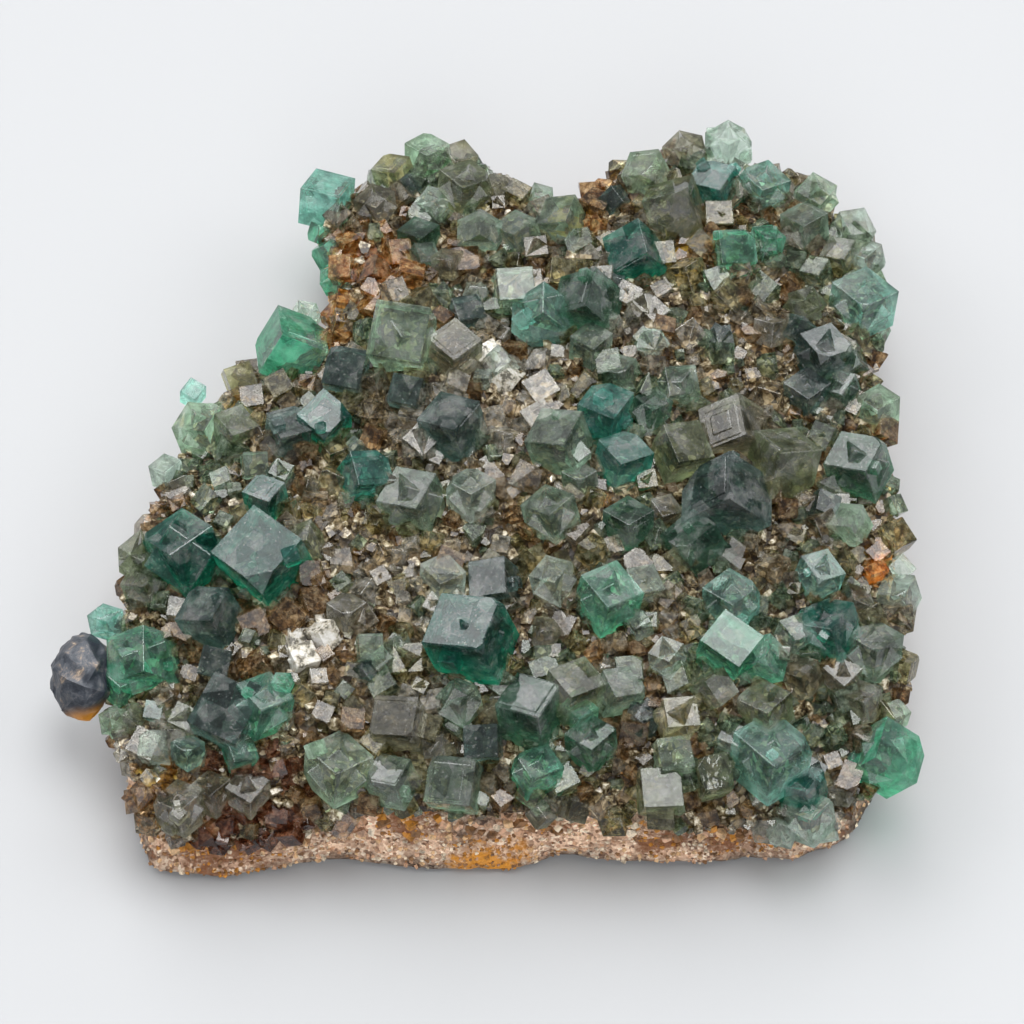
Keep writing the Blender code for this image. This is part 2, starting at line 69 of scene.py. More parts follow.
# The view: looking down on the front, from far off, as through a long lens
VIEW_ELEVATION = math.radians(65)
VIEW_AIM = Vector((3.03, -1.83, 20.0)) * MM
VIEW_WIDTH = 141.2 * MM
CAMERA_DISTANCE = 1.0
SENSOR_WIDTH = 36.0

# Corners of a solid's mesh this close are one corner, and faces this level are one face
WELD = 0.004 * MM
LEVEL = math.radians(1)

# The bed that the small crystals grow from: its grid, its thickness, the share of the way to the
# rim that it reaches, how far it lies under the crust's top, and the grid of its final mesh
BED_STEP = 1.0 * MM
BED_THICKNESS = 4.4 * MM
BED_REACH = 0.99
BED_SINK = 0.35 * MM
BED_VOXEL = 0.62 * MM

# The grid of the rock's mesh, how far in millimetres its sides are set back, how high its flat
# foot is
ROCK_VOXEL = 0.75 * MM
SIDE_SETBACK = 0.4
FLAT_FOOT = 0.25 * MM

# Relief by noises, each as features per metre and height in millimetres
BED_LUMPS = [(330, 0.55), (800, 0.3)]
ROCK_LUMPS = [(900, 0.16), (420, 0.3)]
ROCK_BULGES = [(75, 1.3)]
GALENA_LOBES = [(210, 0.9), (620, 0.4)]

# The galena's lobes are cut off at this height in millimetres, and its solid's faces are cut
# this many times
GALENA_HIGHEST = 0.4
GALENA_CUTS = 9

# Pits: features per metre, the level of noise above which they open, depth in millimetres
BED_PITS = (150, 0.22, 2.6)
ROCK_PITS = (210, 0.25, 1.6)
BED_PITS_SHIFT = Vector((3, 7, 1))

# Ledges in the rock's sides: features per metre across and up, height in millimetres
LEDGES_ACROSS = 60
LEDGES_UP = 420
LEDGE_HEIGHT = 0.8

CRYSTAL_IOR = 1.434

# The attribute that runs from a crystal's top (0) to its foot (1), where the painted glow starts on
# that way, and the most of it
FOOT = "foot"
PAINTED_GLOW_FROM = 0.12
PAINTED_GLOW_MOST = 0.5

# The key lamp: direction it lies in, width in degrees, strength
KEY = ((0.12, 0.30, 0.95), 36, 2.5)

# Soft panels in the surroundings: direction, half width in degrees of core and of fringe, radiance
PANELS = [
    ((-0.25, 0.74, 0.62), 12, 27, 5.6),
    ((-0.76, 0.25, 0.60), 9, 23, 4.2),
    ((0.76, 0.15, 0.63), 9, 23, 3.2),
    ((0.05, -0.80, 0.60), 10, 26, 3.0),
    ((0.45, 0.85, 0.28), 6, 18, 4.5),
]
PANEL_COLOUR = (0.975, 0.972, 0.985)
FILL_RADIANCE = 0.50
FLOOR_SIZE = 6
FLOOR_COLOUR = (0.366, 0.373, 0.380)

# The crust as its solid has it, in millimetres
SLAB_CENTRE = (3.0, -2.0)
TOP_HEIGHT = 21.0
DOME_POWER = 3.2

# The height, in millimetres, at which a place is where it seems to be from the view
SEEN_HEIGHT = 20.0

# How many times a seat on the crust is worked out again, each time closer
SEAT_ROUNDS = 8

# How far the middle of a large and of a small crystal lies above the crust, as a share of its
# edge, and how much its three edges differ
LARGE_LIFT = 0.24
SMALL_LIFT = 0.20
UNEVENNESS = 0.06

# A crystal's shape, in shares of its edge length or its square. A face this large takes a growth
# step; a step's margin, how far it is off the middle, how high it stands and how steep its rim is
BROAD_FACE = 0.6
STEP_MARGIN = (0.06, 0.2)
STEP_ASIDE = 0.06
STEP_RISES = (-0.016, 0.014, 0.022)
STEP_RIM = 0.008

# How deep a chip goes in from its corner, and how far it leans
CHIP_DEPTH = (0.06, 0.2)
CHIP_LEAN = 0.12

# An edge sharper than this gets a pale band, part wear and part painted highlight; the band's
# width on large crystals and on those copied
WORN_AND_HIGHLIGHT_ANGLE = math.radians(25)
WEAR_AND_HIGHLIGHT = 0.022
SEED_WEAR_AND_HIGHLIGHT = 0.03

# A twin is turned by this about the cube's diagonal
TWIN_TURN = math.radians(60)

# Large crystals: growth steps, and chips to choose from
LARGE_STEPS = 2
LARGE_CHIPS = (1, 2, 2, 3)

# Shards: chips, cleavage planes more, how far those lie from the middle, how many shapes to copy
SHARD_CHIPS = 3
SHARD_CUTS = 2
SHARD_DEPTH = (0.25, 0.42)
SHARD_COUNT = 8

# Crystals to copy: the twin's share of the size, growth steps, chips
SEED_PLANS = [
    (0, 0, 0), (0, 1, 1), (0, 2, 0), (0, 1, 2), (0.9, 0, 0), (0.75, 0, 1), (0, 0, 2), (1.0, 0, 0),
]

# Little crystals on each large one: how many, their size as a share, the share of parallel ones
SATELLITES = (0, 3)
SATELLITE_SIZE = (0.14, 0.36)
SATELLITE_PARALLEL = 0.55

# How far from a face's middle they grow, and how far below the crystal's middle
SATELLITE_ASIDE = 0.46
SATELLITE_LOWEST = 0.1

# Small crystals of the druse: least and greatest edge in millimetres, tries, spacing as a share of
# two neighbours' edges, the share of shards
DRUSE_SIZES = [
    (2.6, 4.0, 700, 0.46, 0.30), (1.7, 2.6, 3200, 0.43, 0.50), (0.8, 1.7, 20000, 0.41, 0.9),
]

# How far they stand out, and how deep in a larger crystal they may sit, as shares of their edge;
# the most that the bed under them may lean over (below 0 it overhangs); the grid for neighbours
DRUSE_LIFT = (0.05, 0.34)
DRUSE_SUNK = 0.15
DRUSE_LOWEST = -0.1
DRUSE_CELL = 5 * MM

# A crystal lies within this many half edges of its middle
CORNER_REACH = 1.8

# Crystals no larger than this, in millimetres, are grit in this share
GRIT_BELOW = 1.7
GRIT_SHARE = 0.5

# Grains on the rock's sides: how many, their size in millimetres, the share of each colour, the
# most level face that carries them (1 is level), the lowest place, how deep they sit
GRAIN_COUNT = 6000
GRAIN_EDGE = (0.22, 0.62)
GRAIN_WEIGHTS = (6, 5, 4, 3, 0.3)
GRAIN_LEVEL = 0.85
GRAIN_LOWEST = 0.9 * MM
GRAIN_SUNK = 0.1

# Crumbs, which are larger grains higher up: their size, from what height, their share
CRUMB_EDGE = (0.5, 1.5)
CRUMB_FROM = 6.5 * MM
CRUMB_SHARE = 0.45

# The share of a stain's reach within which the grains take its colour
STAINED_GRAINS = 0.7

# Kinds of small crystals where no patch rules, with their shares
MIXTURE = [("smoky", 6), ("olive", 5), ("brown", 4), ("pale", 2), ("green", 3)]

# Share of a patch's kind in its middle, and what it loses on the way out to the patch's reach
PATCH_MIDDLE = 0.8
PATCH_FALL = 0.5

# Patches of one kind: x, y as seen, reach in millimetres, kind
PATCHES = [
    (0, 21, 3.6, "sugar"), (-9, 46, 3, "sugar"), (-5.5, -14, 3, "sugar"), (-22, -21, 4, "sugar"),
    (-18, 37, 8, "amber"), (54, -8, 4, "amber"), (14, 46, 3.5, "amber"), (-41, -42, 4, "amber"),
    (-24, 26, 5, "amber"), (-32, -48, 11, "red"), (-40, -44, 8, "brown"), (-26, -42, 7, "brown"),
    (28, 42, 5, "brown"), (13, 50, 5, "brown"), (-25, -14, 6, "brown"), (22, -34, 6, "brown"),
    (-5, 11, 9, "pale"), (17, 31, 7, "pale"),
    (3, 21, 7, "pale"), (43, -50, 8, "pale"), (-48, -37, 6, "pale"), (-12, -14, 8, "pale"),
    (-42, 15, 5, "pale"), (-8, 52, 8, "green"), (30, 54, 8, "green"), (50, 35, 8, "green"),
    (10, -32, 8, "green"), (36, -20, 8, "green"), (46, -30, 8, "green"), (-40, 8, 8, "green"),
    (20, 15, 8, "green"),
]

# The slab's rim in millimetres, anticlockwise from the right: x, y, height of the crust's edge
RIM = [
    (56.3, 2, 16), (55.5, 10, 16), (56.3, 16, 15), (54.6, 22, 15), (55, 29, 15), (55.3, 35, 15),
    (54.2, 40.5, 14), (52, 45.5, 14), (48.8, 49.5, 14), (44, 54, 13), (38.5, 57, 13),
    (33, 58.6, 13), (27, 58.8, 13), (21, 57.5, 13), (16.5, 55, 13), (13.4, 51.2, 13),
    (10.5, 48.2, 14), (7.6, 49.8, 14), (4, 52.2, 13), (0, 55, 13), (-5, 57, 13), (-10, 57, 13),
    (-14.5, 55, 13), (-18, 52.6, 14), (-22.3, 51, 14), (-24.3, 46.5, 14), (-23.3, 40.5, 14),
    (-22.1, 35, 15), (-22.6, 30.6, 15), (-26.4, 27.8, 15), (-31.4, 24, 15), (-36, 21.2, 14),
    (-39.4, 17, 14), (-42.2, 12.6, 14), (-44.4, 7.4, 14), (-47, 2.4, 14), (-49, -2.6, 14),
    (-50.4, -7.6, 14), (-51, -13, 14), (-52.6, -18, 14), (-53.6, -23.4, 13), (-53, -29, 13),
    (-51.8, -34, 13), (-49.4, -38.6, 13), (-48, -43, 12), (-46, -47, 10), (-36.5, -48, 9),
    (-28, -46.8, 10), (-20, -44.6, 14), (-12, -44.8, 14), (-4, -45, 14), (3.5, -45, 13),
    (9, -44.8, 13), (19, -45, 13), (29, -45.6, 12), (36, -45.4, 11), (42, -46, 9), (47.5, -44.8, 9),
    (51.4, -41.8, 10), (54.4, -37.6, 12), (56.6, -32, 14), (57.8, -26, 14), (57.2, -19, 15),
    (57.4, -12, 15), (56.4, -5, 16),
]

# Large crystals in millimetres: x, y as seen, edge, how the three edges run from the near corner
# (degrees, as seen), size of the penetrating twin as a share of the crystal (0 is none), kind
LARGE = [
    (-23.2, 46.8, 5.8, (55, 165, 265), 0, "aqua"),
    (-3.6, 48.6, 5.5, (20, 140, 262), 0.9, "moss"),
    (10.0, 43.2, 5.2, (70, 185, 300), 0, "sage"),
    (3.2, 32.6, 5.0, (4, 97, 240), 0, "sage"),
    (7.4, 28.0, 6.2, (88, 212, 325), 0.92, "aqua"),
    (13.6, 30.2, 7.0, (75, 195, 320), 0, "forest"),
    (-12.2, 24.8, 8.2, (79, 171, 300), 0.8, "mint"),
    (-20.0, 19.6, 5.6, (78, 170, 290), 0, "slate"),
    (-5.0, 22.7, 5.8, (36, 140, 268), 0, "smoky"),
    (-27.8, 23.6, 7.2, (100, 237, 340), 0, "emerald"),
    (-40.2, 10.8, 5.4, (60, 175, 290), 0.85, "mint"),
    (-28.0, 10.2, 5.0, (15, 120, 262), 0, "slate"),
    (-23.0, 12.0, 5.6, (45, 141, 270), 0, "deep"),
    (-17.2, 3.6, 5.4, (2, 105, 230), 0, "teal"),
    (-10.6, -0.4, 6.6, (60, 170, 295), 0.9, "sage"),
    (-2.6, 0.8, 4.8, (30, 150, 270), 0.9, "ice"),
    (-5.2, 11.0, 6.4, (50, 165, 285), 0, "slate"),
    (-42.0, -8.0, 7.4, (35, 150, 290), 0.95, "deep"),
    (-31.0, -9.2, 9.4, (48, 145, 295), 0.62, "deep"),
    (-38.3, -17.8, 6.2, (63, 178, 300), 0, "slate"),
    (-47.6, -24.3, 6.8, (92, 200, 340), 0.9, "emerald"),
    (-35.6, -32.5, 7.6, (61, 155, 290), 0, "slate"),
    (-31.0, -31.0, 6.2, (20, 135, 255), 0.9, "emerald"),
    (-42.0, -46.4, 5.2, (40, 160, 280), 0.85, "smoky"),
    (-20.6, -40.4, 6.8, (25, 140, 265), 0.88, "mint"),
    (-13.3, -42.3, 5.2, (60, 170, 290), 0, "sage"),
    (-4.8, -42.8, 6.4, (82, 175, 310), 0, "sage"),
    (-2.6, -21.0, 8.8, (68, 175, 297), 0.7, "deep"),
    (0.6, -12.6, 5.4, (92, 190, 320), 0, "slate"),
    (16.2, -15.0, 6.4, (22, 130, 255), 0.86, "emerald"),
    (-12.3, -33.8, 6.0, (80, 178, 300), 0, "smoky"),
    (5.6, -32.0, 6.6, (55, 165, 280), 0, "forest"),
    (11.5, -28.8, 6.0, (20, 130, 255), 0, "moss"),
    (6.4, -40.8, 4.9, (20, 125, 255), 0.9, "emerald"),
    (13.8, -36.6, 5.2, (40, 150, 275), 0.85, "forest"),
    (17.6, -28.8, 4.8, (8, 115, 240), 0, "sage"),
    (33.0, -15.4, 5.8, (35, 150, 270), 0.88, "aqua"),
    (32.6, -22.3, 6.2, (50, 145, 255), 0, "emerald"),
    (37.2, -24.2, 5.0, (75, 195, 315), 0, "emerald"),
    (46.6, -19.7, 6.2, (48, 172, 290), 0.8, "deep"),
    (52.3, -22.9, 5.8, (30, 150, 265), 0.9, "sage"),
    (45.2, -11.5, 4.8, (15, 125, 250), 0.9, "aqua"),
    (37.6, -31.6, 5.4, (40, 155, 280), 0, "moss"),
    (38.2, -38.8, 7.8, (28, 140, 262), 0.75, "aqua"),
    (42.6, -43.6, 4.8, (50, 165, 285), 0, "deep"),
    (54.3, -38.9, 7.0, (72, 212, 328), 0.8, "emerald"),
    (23.0, -43.8, 5.4, (2, 95, 240), 0, "moss"),
    (30.2, -41.7, 4.9, (12, 108, 240), 0, "moss"),
    (43.6, -48.0, 5.0, (40, 160, 280), 0.9, "ice"),
    (32.6, 0.0, 8.4, (88, 207, 328), 0, "slate"),
    (28.2, -6.6, 6.0, (40, 145, 300), 0, "forest"),
    (33.8, 10.8, 6.8, (100, 202, 330), 0, "smoky"),
    (40.4, 5.6, 7.2, (5, 138, 258), 0, "moss"),
    (51.0, 5.0, 7.0, (60, 170, 290), 0.85, "forest"),
    (46.2, 22.4, 5.6, (20, 130, 250), 0.9, "slate"),
    (52.2, 30.4, 6.6, (25, 140, 262), 0.85, "aqua"),
    (44.3, 42.4, 5.0, (30, 150, 275), 0, "sage"),
    (38.5, 48.6, 5.2, (20, 135, 260), 0.9, "aqua"),
    (31.6, 48.8, 5.4, (55, 165, 285), 0, "teal"),
    (26.0, 45.0, 6.8, (68, 195, 290), 0, "moss"),
    (22.0, 50.8, 4.9, (70, 185, 300), 0, "mint"),
    (33.8, 55.4, 4.9, (30, 150, 270), 1.0, "ice"),
    (20.3, 38.0, 6.2, (104, 209, 320), 0, "deep"),
    (34.2, 38.6, 4.9, (3, 96, 230), 0, "emerald"),
    (15.8, 13.2, 6.0, (53, 158, 265), 0.8, "teal"),
    (9.6, 8.6, 6.6, (62, 175, 292), 0, "sage"),
    (18.4, 6.0, 5.6, (18, 132, 258), 0, "teal"),
    (26.5, 7.3, 6.0, (8, 112, 238), 0, "moss"),
    (8.4, -2.2, 5.6, (40, 160, 285), 0.9, "sage"),
    (19.0, -3.8, 5.0, (30, 150, 270), 0, "forest"),
]

# Crystals half their size: x, y as seen, edge, edges as seen, kind
MIDDLING = [
    (-9.0, 53.8, 4.6, (30, 150, 270), "mint"), (-13.7, 51.0, 4.2, (50, 170, 290), "honey"),
    (-4.5, 53.3, 3.8, (20, 130, 260), "smoky"), (-10.0, 40.3, 4.3, (40, 160, 275), "forest"),
    (-1.5, 41.3, 4.4, (88, 205, 330), "sage"), (3.8, 41.3, 4.6, (35, 155, 285), "sage"),
    (14.0, 23.6, 4.4, (40, 150, 268), "sage"), (-11.5, 16.3, 4.2, (75, 168, 300), "slate"),
    (-3.2, 28.6, 4.0, (10, 110, 255), "slate"), (-26.0, 28.4, 3.0, (60, 170, 290), "ice"),
    (-35.5, 10.5, 4.6, (20, 130, 255), "moss"), (-45.0, 4.2, 3.4, (40, 160, 280), "ice"),
    (-32.6, 5.2, 3.4, (2, 94, 230), "sage"), (-31.0, 0.3, 4.4, (50, 160, 280), "deep"),
    (-25.4, -6.5, 4.0, (80, 200, 310), "moss"), (-48.0, -8.8, 4.6, (40, 150, 270), "moss"),
    (-47.8, -13.0, 4.2, (60, 175, 290), "moss"), (-50.6, -27.8, 4.4, (25, 140, 260), "emerald"),
    (-52.8, -18.6, 3.4, (-6, 87, 222), "aqua"), (-34.0, -38.2, 3.6, (10, 110, 240), "emerald"),
    (-45.7, -37.3, 3.8, (85, 180, 300), "ice"), (-41.2, -38.0, 3.4, (30, 150, 270), "aqua"),
    (-37.8, -44.3, 4.2, (40, 160, 285), "smoky"), (-33.0, -44.0, 4.6, (50, 150, 270), "smoky"),
    (-6.5, -12.0, 4.6, (25, 135, 265), "ice"), (8.7, -12.3, 4.4, (50, 165, 285), "ice"),
    (20.8, -13.2, 4.2, (10, 115, 245), "ice"), (-4.1, -30.5, 4.2, (45, 160, 285), "sage"),
    (-0.8, -36.6, 4.6, (92, 184, 318), "slate"), (12.2, -32.4, 3.6, (30, 140, 265), "emerald"),
    (41.8, -20.6, 4.2, (20, 130, 250), "sage"), (49.5, -3.8, 4.2, (60, 175, 300), "mint"),
    (42.4, -26.8, 4.2, (45, 165, 285), "smoky"), (24.9, -38.6, 4.6, (8, 102, 235), "mint"),
    (25.7, -32.8, 4.4, (4, 100, 245), "honey"), (24.2, -23.8, 3.6, (50, 160, 280), "ice"),
    (56.3, -14.6, 4.4, (60, 175, 290), "ice"), (54.0, 14.0, 4.4, (30, 145, 270), "mint"),
    (44.0, 16.3, 4.6, (35, 145, 268), "slate"), (48.6, 16.8, 4.2, (55, 165, 290), "forest"),
    (51.2, 42.0, 4.2, (10, 115, 245), "ice"), (52.8, 37.6, 3.8, (40, 160, 285), "ice"),
    (49.2, 37.8, 4.0, (60, 170, 290), "moss"), (46.0, 47.2, 4.2, (50, 150, 265), "mint"),
    (27.6, 54.3, 4.2, (45, 165, 285), "smoky"), (38.8, 39.8, 3.6, (88, 182, 300), "emerald"),
    (26.2, 17.6, 4.4, (5, 100, 235), "sage"), (22.4, 13.8, 3.8, (25, 140, 260), "forest"),
    (18.0, 19.3, 3.8, (50, 165, 280), "sage"), (12.4, 2.8, 3.6, (30, 150, 275), "sage"),
    (24.0, -2.0, 3.4, (15, 125, 250), "smoky"), (-19.6, -17.2, 4.0, (35, 150, 270), "smoky"),
    (-16.4, -22.4, 3.4, (2, 94, 235), "mint"), (-16.2, 45.6, 4.2, (45, 160, 280), "smoky"),
    (51.0, -30.6, 4.0, (40, 160, 280), "smoky"), (33.2, -36.0, 3.2, (60, 160, 280), "ice"),
]

# More of them, that lie any way round: x, y as seen, edge, kind
STRAY = [
    (-24, 41.5, 2.6, "emerald"), (-23, 38.3, 3.0, "emerald"), (-22.3, 34, 2.6, "emerald"),
    (-11.5, 49, 2.6, "slate"), (-8, 46, 3.4, "ice"), (1, 48, 2.6, "smoky"), (7, 47, 3.0, "sage"),
    (-9.5, 37.5, 3.4, "sage"), (-6, 36.5, 3.4, "smoky"), (-2, 32, 2.6, "ice"), (1.5, 21, 3.2, "ice"),
    (-1, 18.5, 2.2, "ice"), (-18.5, 8, 2.2, "ice"), (-37, 3, 2.6, "ice"), (-43, 2, 2.6, "smoky"),
    (-29, 4, 2.6, "sage"), (-25, 2, 2.2, "smoky"), (-41.6, 16.4, 2.8, "aqua"), (-35, 18.5, 3.8, "honey"),
    (17.5, 46.8, 3.0, "slate"), (17, 33.5, 3.0, "slate"), (21, 30, 2.6, "smoky"), (22.5, 24, 3.0, "ice"),
    (46.5, 11.5, 2.4, "smoky"), (29.5, 40, 3.0, "honey"), (44, 30, 3.6, "moss"), (32, 25, 2.6, "slate"),
    (39, 26, 3.4, "smoky"), (46, -1, 3.4, "slate"), (50, -16, 4.0, "smoky"), (33, -8.5, 3.4, "smoky"),
    (20.5, -19, 2.6, "ice"), (7.5, -20, 3.0, "smoky"), (-37.5, -24.5, 4.0, "slate"),
    (-46, -32, 2.4, "aqua"), (-49, -33, 3.0, "moss"), (-51.5, -33.5, 2.8, "mint"),
    (-42, -33.5, 3.4, "moss"), (-7.5, -36.5, 3.2, "smoky"), (2.5, -30.5, 3.4, "smoky"),
    (-12.5, -22, 2.8, "mint"), (-14.5, -24.5, 2.8, "mint"), (-17, -25.5, 2.6, "slate"),
    (7, -47.5, 2.6, "smoky"), (11.5, -46.5, 3.0, "smoky"), (21, -33, 3.6, "slate"),
    (30.5, -28.5, 4.0, "moss"), (44, -41, 2.8, "slate"), (40, -50, 3.2, "ice"), (46, -50, 2.6, "ice"),
    (48, -26.5, 4.2, "smoky"), (55.5, -32.5, 2.8, "mint"), (56.5, -10.5, 2.8, "ice"),
    (48, -44, 2.8, "smoky"), (50, 21, 4.0, "forest"), (43, 26, 3.4, "slate"),
]


# Shared tools

def clear_selection():
    """Leaves nothing selected."""
    bpy.ops.object.select_all(action="DESELECT")


def take(thing):
    """Selects one object alone and makes it active."""
    clear_selection()
    thing.select_set(True)
    bpy.context.view_layer.objects.active = thing


def copy_of(node, name):
    """A copy of a node's mesh as a piece of its own, its level triangles made one face."""
    piece = bpy.data.objects.new(name, NODES[node].data.copy())
    bpy.context.scene.collection.objects.link(piece)
    piece.data.materials.clear()
    take(piece)
    bpy.ops.object.mode_set(mode="EDIT")
    bpy.ops.mesh.select_all(action="SELECT")
    bpy.ops.mesh.remove_doubles(threshold=WELD)
    bpy.ops.mesh.dissolve_limited(angle_limit=LEVEL)
    bpy.ops.object.mode_set(mode="OBJECT")
    return piece


def apply_all(piece):
    """Applies the piece's modifiers in order."""
    take(piece)
    for modifier in list(piece.modifiers):
        bpy.ops.object.modifier_apply(modifier=modifier.name)


def normals_of(piece):
    """The corners' normals, read before any corner is moved."""
    return [v.normal.copy() for v in piece.data.vertices]


def lumps(place, layers):
    """The height at a place of several noises, each with its features per metre and its height."""
    return sum(height * noise.noise(place * count) for count, height in layers)


def pits(place, count, level, depth, shift=Vector()):
    """The depth at a place of pits, which open where a noise is above level."""
    return depth * max(noise.noise(place * count + shift) - level, 0)


def search_tree(thing):
    """A tree to find the nearest place on an object's mesh with."""
    corners = [v.co.copy() for v in thing.data.vertices]
    faces = [list(p.vertices) for p in thing.data.polygons]
    return BVHTree.FromPolygons(corners, faces)


# Node groups

def new_group(name, inputs, outputs):
    """An empty shader group with its sockets, and the nodes of its inputs and outputs."""
    group = bpy.data.node_groups.new(name, "ShaderNodeTree")
    for label, kind, value in inputs:
        socket = group.interface.new_socket(name=label, in_out="INPUT", socket_type=kind)
        if value is not None:
            socket.default_value = value
    for label, kind in outputs:
        group.interface.new_socket(name=label, in_out="OUTPUT", socket_type=kind)
    return group, group.nodes.new("NodeGroupInput"), group.nodes.new("NodeGroupOutput")


def add(tree, kind, **settings):
    """A node with these properties set."""
    node = tree.nodes.new("ShaderNode" + kind)
    for key, value in settings.items():
        setattr(node, key, value)
    return node


def ramp(tree, value, stops):
    """The value as a colour, by these (place, colour) stops."""
    node = add(tree, "ValToRGB")
    elements = node.color_ramp.elements
    while len(elements) > len(stops):
        elements.remove(elements[-1])
    while len(elements) < len(stops):
        elements.new(0.5)
    for element, (place, colour) in zip(elements, stops):
        element.position = place
        element.color = (*colour, 1)
    tree.links.new(value, node.inputs["Fac"])
    return node.outputs["Color"]


def noise_of(tree, vector, scale, detail=4.0, roughness=0.55, distortion=0.0):
    """Noise on the given coordinates; scale counts features per metre."""
    node = add(tree, "TexNoise")
    node.inputs["Scale"].default_value = scale
    node.inputs["Detail"].default_value = detail
    node.inputs["Roughness"].default_value = roughness
    node.inputs["Distortion"].default_value = distortion
    tree.links.new(vector, node.inputs["Vector"])
    return node.outputs["Fac"]


def spread(tree, value, before, after=(0, 1), kind="LINEAR"):
    """The value, moved from one (from, to) range to another."""
    node = add(tree, "MapRange", interpolation_type=kind)
    ends = zip(("From Min", "From Max", "To Min", "To Max"), (*before, *after))
    for label, number in ends:
        node.inputs[label].default_value = number
    tree.links.new(value, node.inputs["Value"])
    return node.outputs["Result"]


def times_plus(tree, value, factor, more):
    """The value times a number, plus another value."""
    node = add(tree, "Math", operation="MULTIPLY_ADD")
    tree.links.new(value, node.inputs[0])
    node.inputs[1].default_value = factor
    tree.links.new(more, node.inputs[2])
    return node.outputs["Value"]


def scaled(tree, colour, share):
    """The colour times a value."""
    node = add(tree, "VectorMath", operation="SCALE")
    tree.links.new(colour, node.inputs[0])
    tree.links.new(share, node.inputs["Scale"])
    return node.outputs["Vector"]


def cells_of(tree, vector):
    """Cells of random tones on the given coordinates: the node and their tone."""
    cells = add(tree, "TexVoronoi", feature="F1")
    tree.links.new(vector, cells.inputs["Vector"])
    tone = add(tree, "SeparateColor")
    tree.links.new(cells.outputs["Color"], tone.inputs["Color"])
    return cells, tone.outputs["Red"]


def inner_planes_group():
    """Tones of a crystal's inside: flat planes, cloudy, with fine specks."""
    group, start, end = new_group(
        "inner planes",
        [("Vector", "NodeSocketVector", None), ("Scale", "NodeSocketFloat", 380.0)],
        [("Tone", "NodeSocketFloat")],
    )
    place = start.outputs["Vector"]
    clouds = noise_of(group, place, scale=330.0, detail=3.0, roughness=0.7)
    specks = noise_of(group, place, scale=2300.0, detail=1.0)
    cells, tone = cells_of(group, place)
    group.links.new(start.outputs["Scale"], cells.inputs["Scale"])
    bright = spread(group, specks, (0.64, 0.76), (0, 0.5))
    planes = times_plus(group, tone, 0.35, clouds)
    whole = times_plus(group, planes, 1.0, bright)
    group.links.new(whole, end.inputs["Tone"])
    return group


def iron_stain_group():
    """Mask of the iron stain round one place: a ball whose edge is ragged by a noise."""
    group, start, end = new_group(
        "iron stain",
        [
            ("Vector", "NodeSocketVector", None),
            ("Place", "NodeSocketVector", None),
            ("Reach", "NodeSocketFloat", 0.01),
            ("Noise", "NodeSocketFloat", 0.5),
        ],
        [("Mask", "NodeSocketFloat")],
    )
    gap = add(group, "VectorMath", operation="DISTANCE")
    group.links.new(start.outputs["Vector"], gap.inputs[0])
    group.links.new(start.outputs["Place"], gap.inputs[1])
    share = add(group, "Math", operation="DIVIDE")
    group.links.new(gap.outputs["Value"], share.inputs[0])
    group.links.new(start.outputs["Reach"], share.inputs[1])
    ragged = times_plus(group, start.outputs["Noise"], 3.2, share.outputs["Value"])
    mask = spread(group, ragged, (2.4, 1.8), (0, 0.85), "SMOOTHSTEP")
    group.links.new(mask, end.inputs["Mask"])
    return group


INNER_PLANES = inner_planes_group()
IRON_STAIN = iron_stain_group()


# Materials

def new_material(name, rough=0.5):
    """A material, its node tree, its Principled shader and its object coordinates."""
    made = bpy.data.materials.new(name)
    made.use_nodes = True
    tree = made.node_tree
    shader = tree.nodes["Principled BSDF"]
    shader.inputs["Roughness"].default_value = rough
    return made, tree, shader, add(tree, "TexCoord").outputs["Object"]


def new_crystal(name, clear, rough):
    """A material of clear crystal, see-through by the share clear."""
    made, tree, shader, place = new_material(name, rough)
    shader.inputs["IOR"].default_value = CRYSTAL_IOR
    shader.inputs["Transmission Weight"].default_value = clear
    return made, tree, shader, place


def relief(tree, shader, height, strength, depth):
    """Gives the shader a fine relief, depth high, from a height value."""
    bump = add(tree, "Bump")
    bump.inputs["Strength"].default_value = strength
    bump.inputs["Distance"].default_value = depth
    tree.links.new(height, bump.inputs["Height"])
    tree.links.new(bump.outputs["Normal"], shader.inputs["Normal"])


def absorption(through, path):
    """Density and colour of a volume that lets these shares of the light through path."""
    sinks = [-math.log(share) / path for share in through]
    density = max(sinks)
    return density, [1 - sink / density for sink in sinks]


def lit_through(tree, surface, left):
    """Lets the lamps shine into the crystal: its surface leaves this share of their light."""
    through_lamps = add(tree, "BsdfTransparent")
    through_lamps.inputs["Color"].default_value = (left, left, left, 1)
    paths = add(tree, "LightPath")
    mix = add(tree, "MixShader")
    tree.links.new(paths.outputs["Is Shadow Ray"], mix.inputs["Fac"])
    tree.links.new(surface, mix.inputs[1])
    tree.links.new(through_lamps.outputs["BSDF"], mix.inputs[2])
    end = tree.nodes["Material Output"]
    tree.links.new(mix.outputs["Shader"], end.inputs["Surface"])
    return end


def painted_glow_at_foot(tree, place, shader, glow):
    """The shader mixed towards the foot with a painted glow in uneven tints: a translucent share, lit
    by the lamps, that the height puts where light would gather.
    """
    foot = add(tree, "Attribute", attribute_name=FOOT)
    share = spread(tree, foot.outputs["Fac"], (PAINTED_GLOW_FROM, 1), (0, PAINTED_GLOW_MOST), "SMOOTHSTEP")
    haze = noise_of(tree, place, scale=420.0, detail=3.0, roughness=0.7)
    lit = add(tree, "BsdfTranslucent")
    tints = ramp(tree, haze, [(0.40, [c * 0.4 for c in glow]), (0.62, glow)])
    tree.links.new(tints, lit.inputs["Color"])
    both = add(tree, "MixShader")
    tree.links.new(share, both.inputs["Fac"])
    tree.links.new(shader.outputs["BSDF"], both.inputs[1])
    tree.links.new(lit.outputs["BSDF"], both.inputs[2])
    return both.outputs["Shader"]


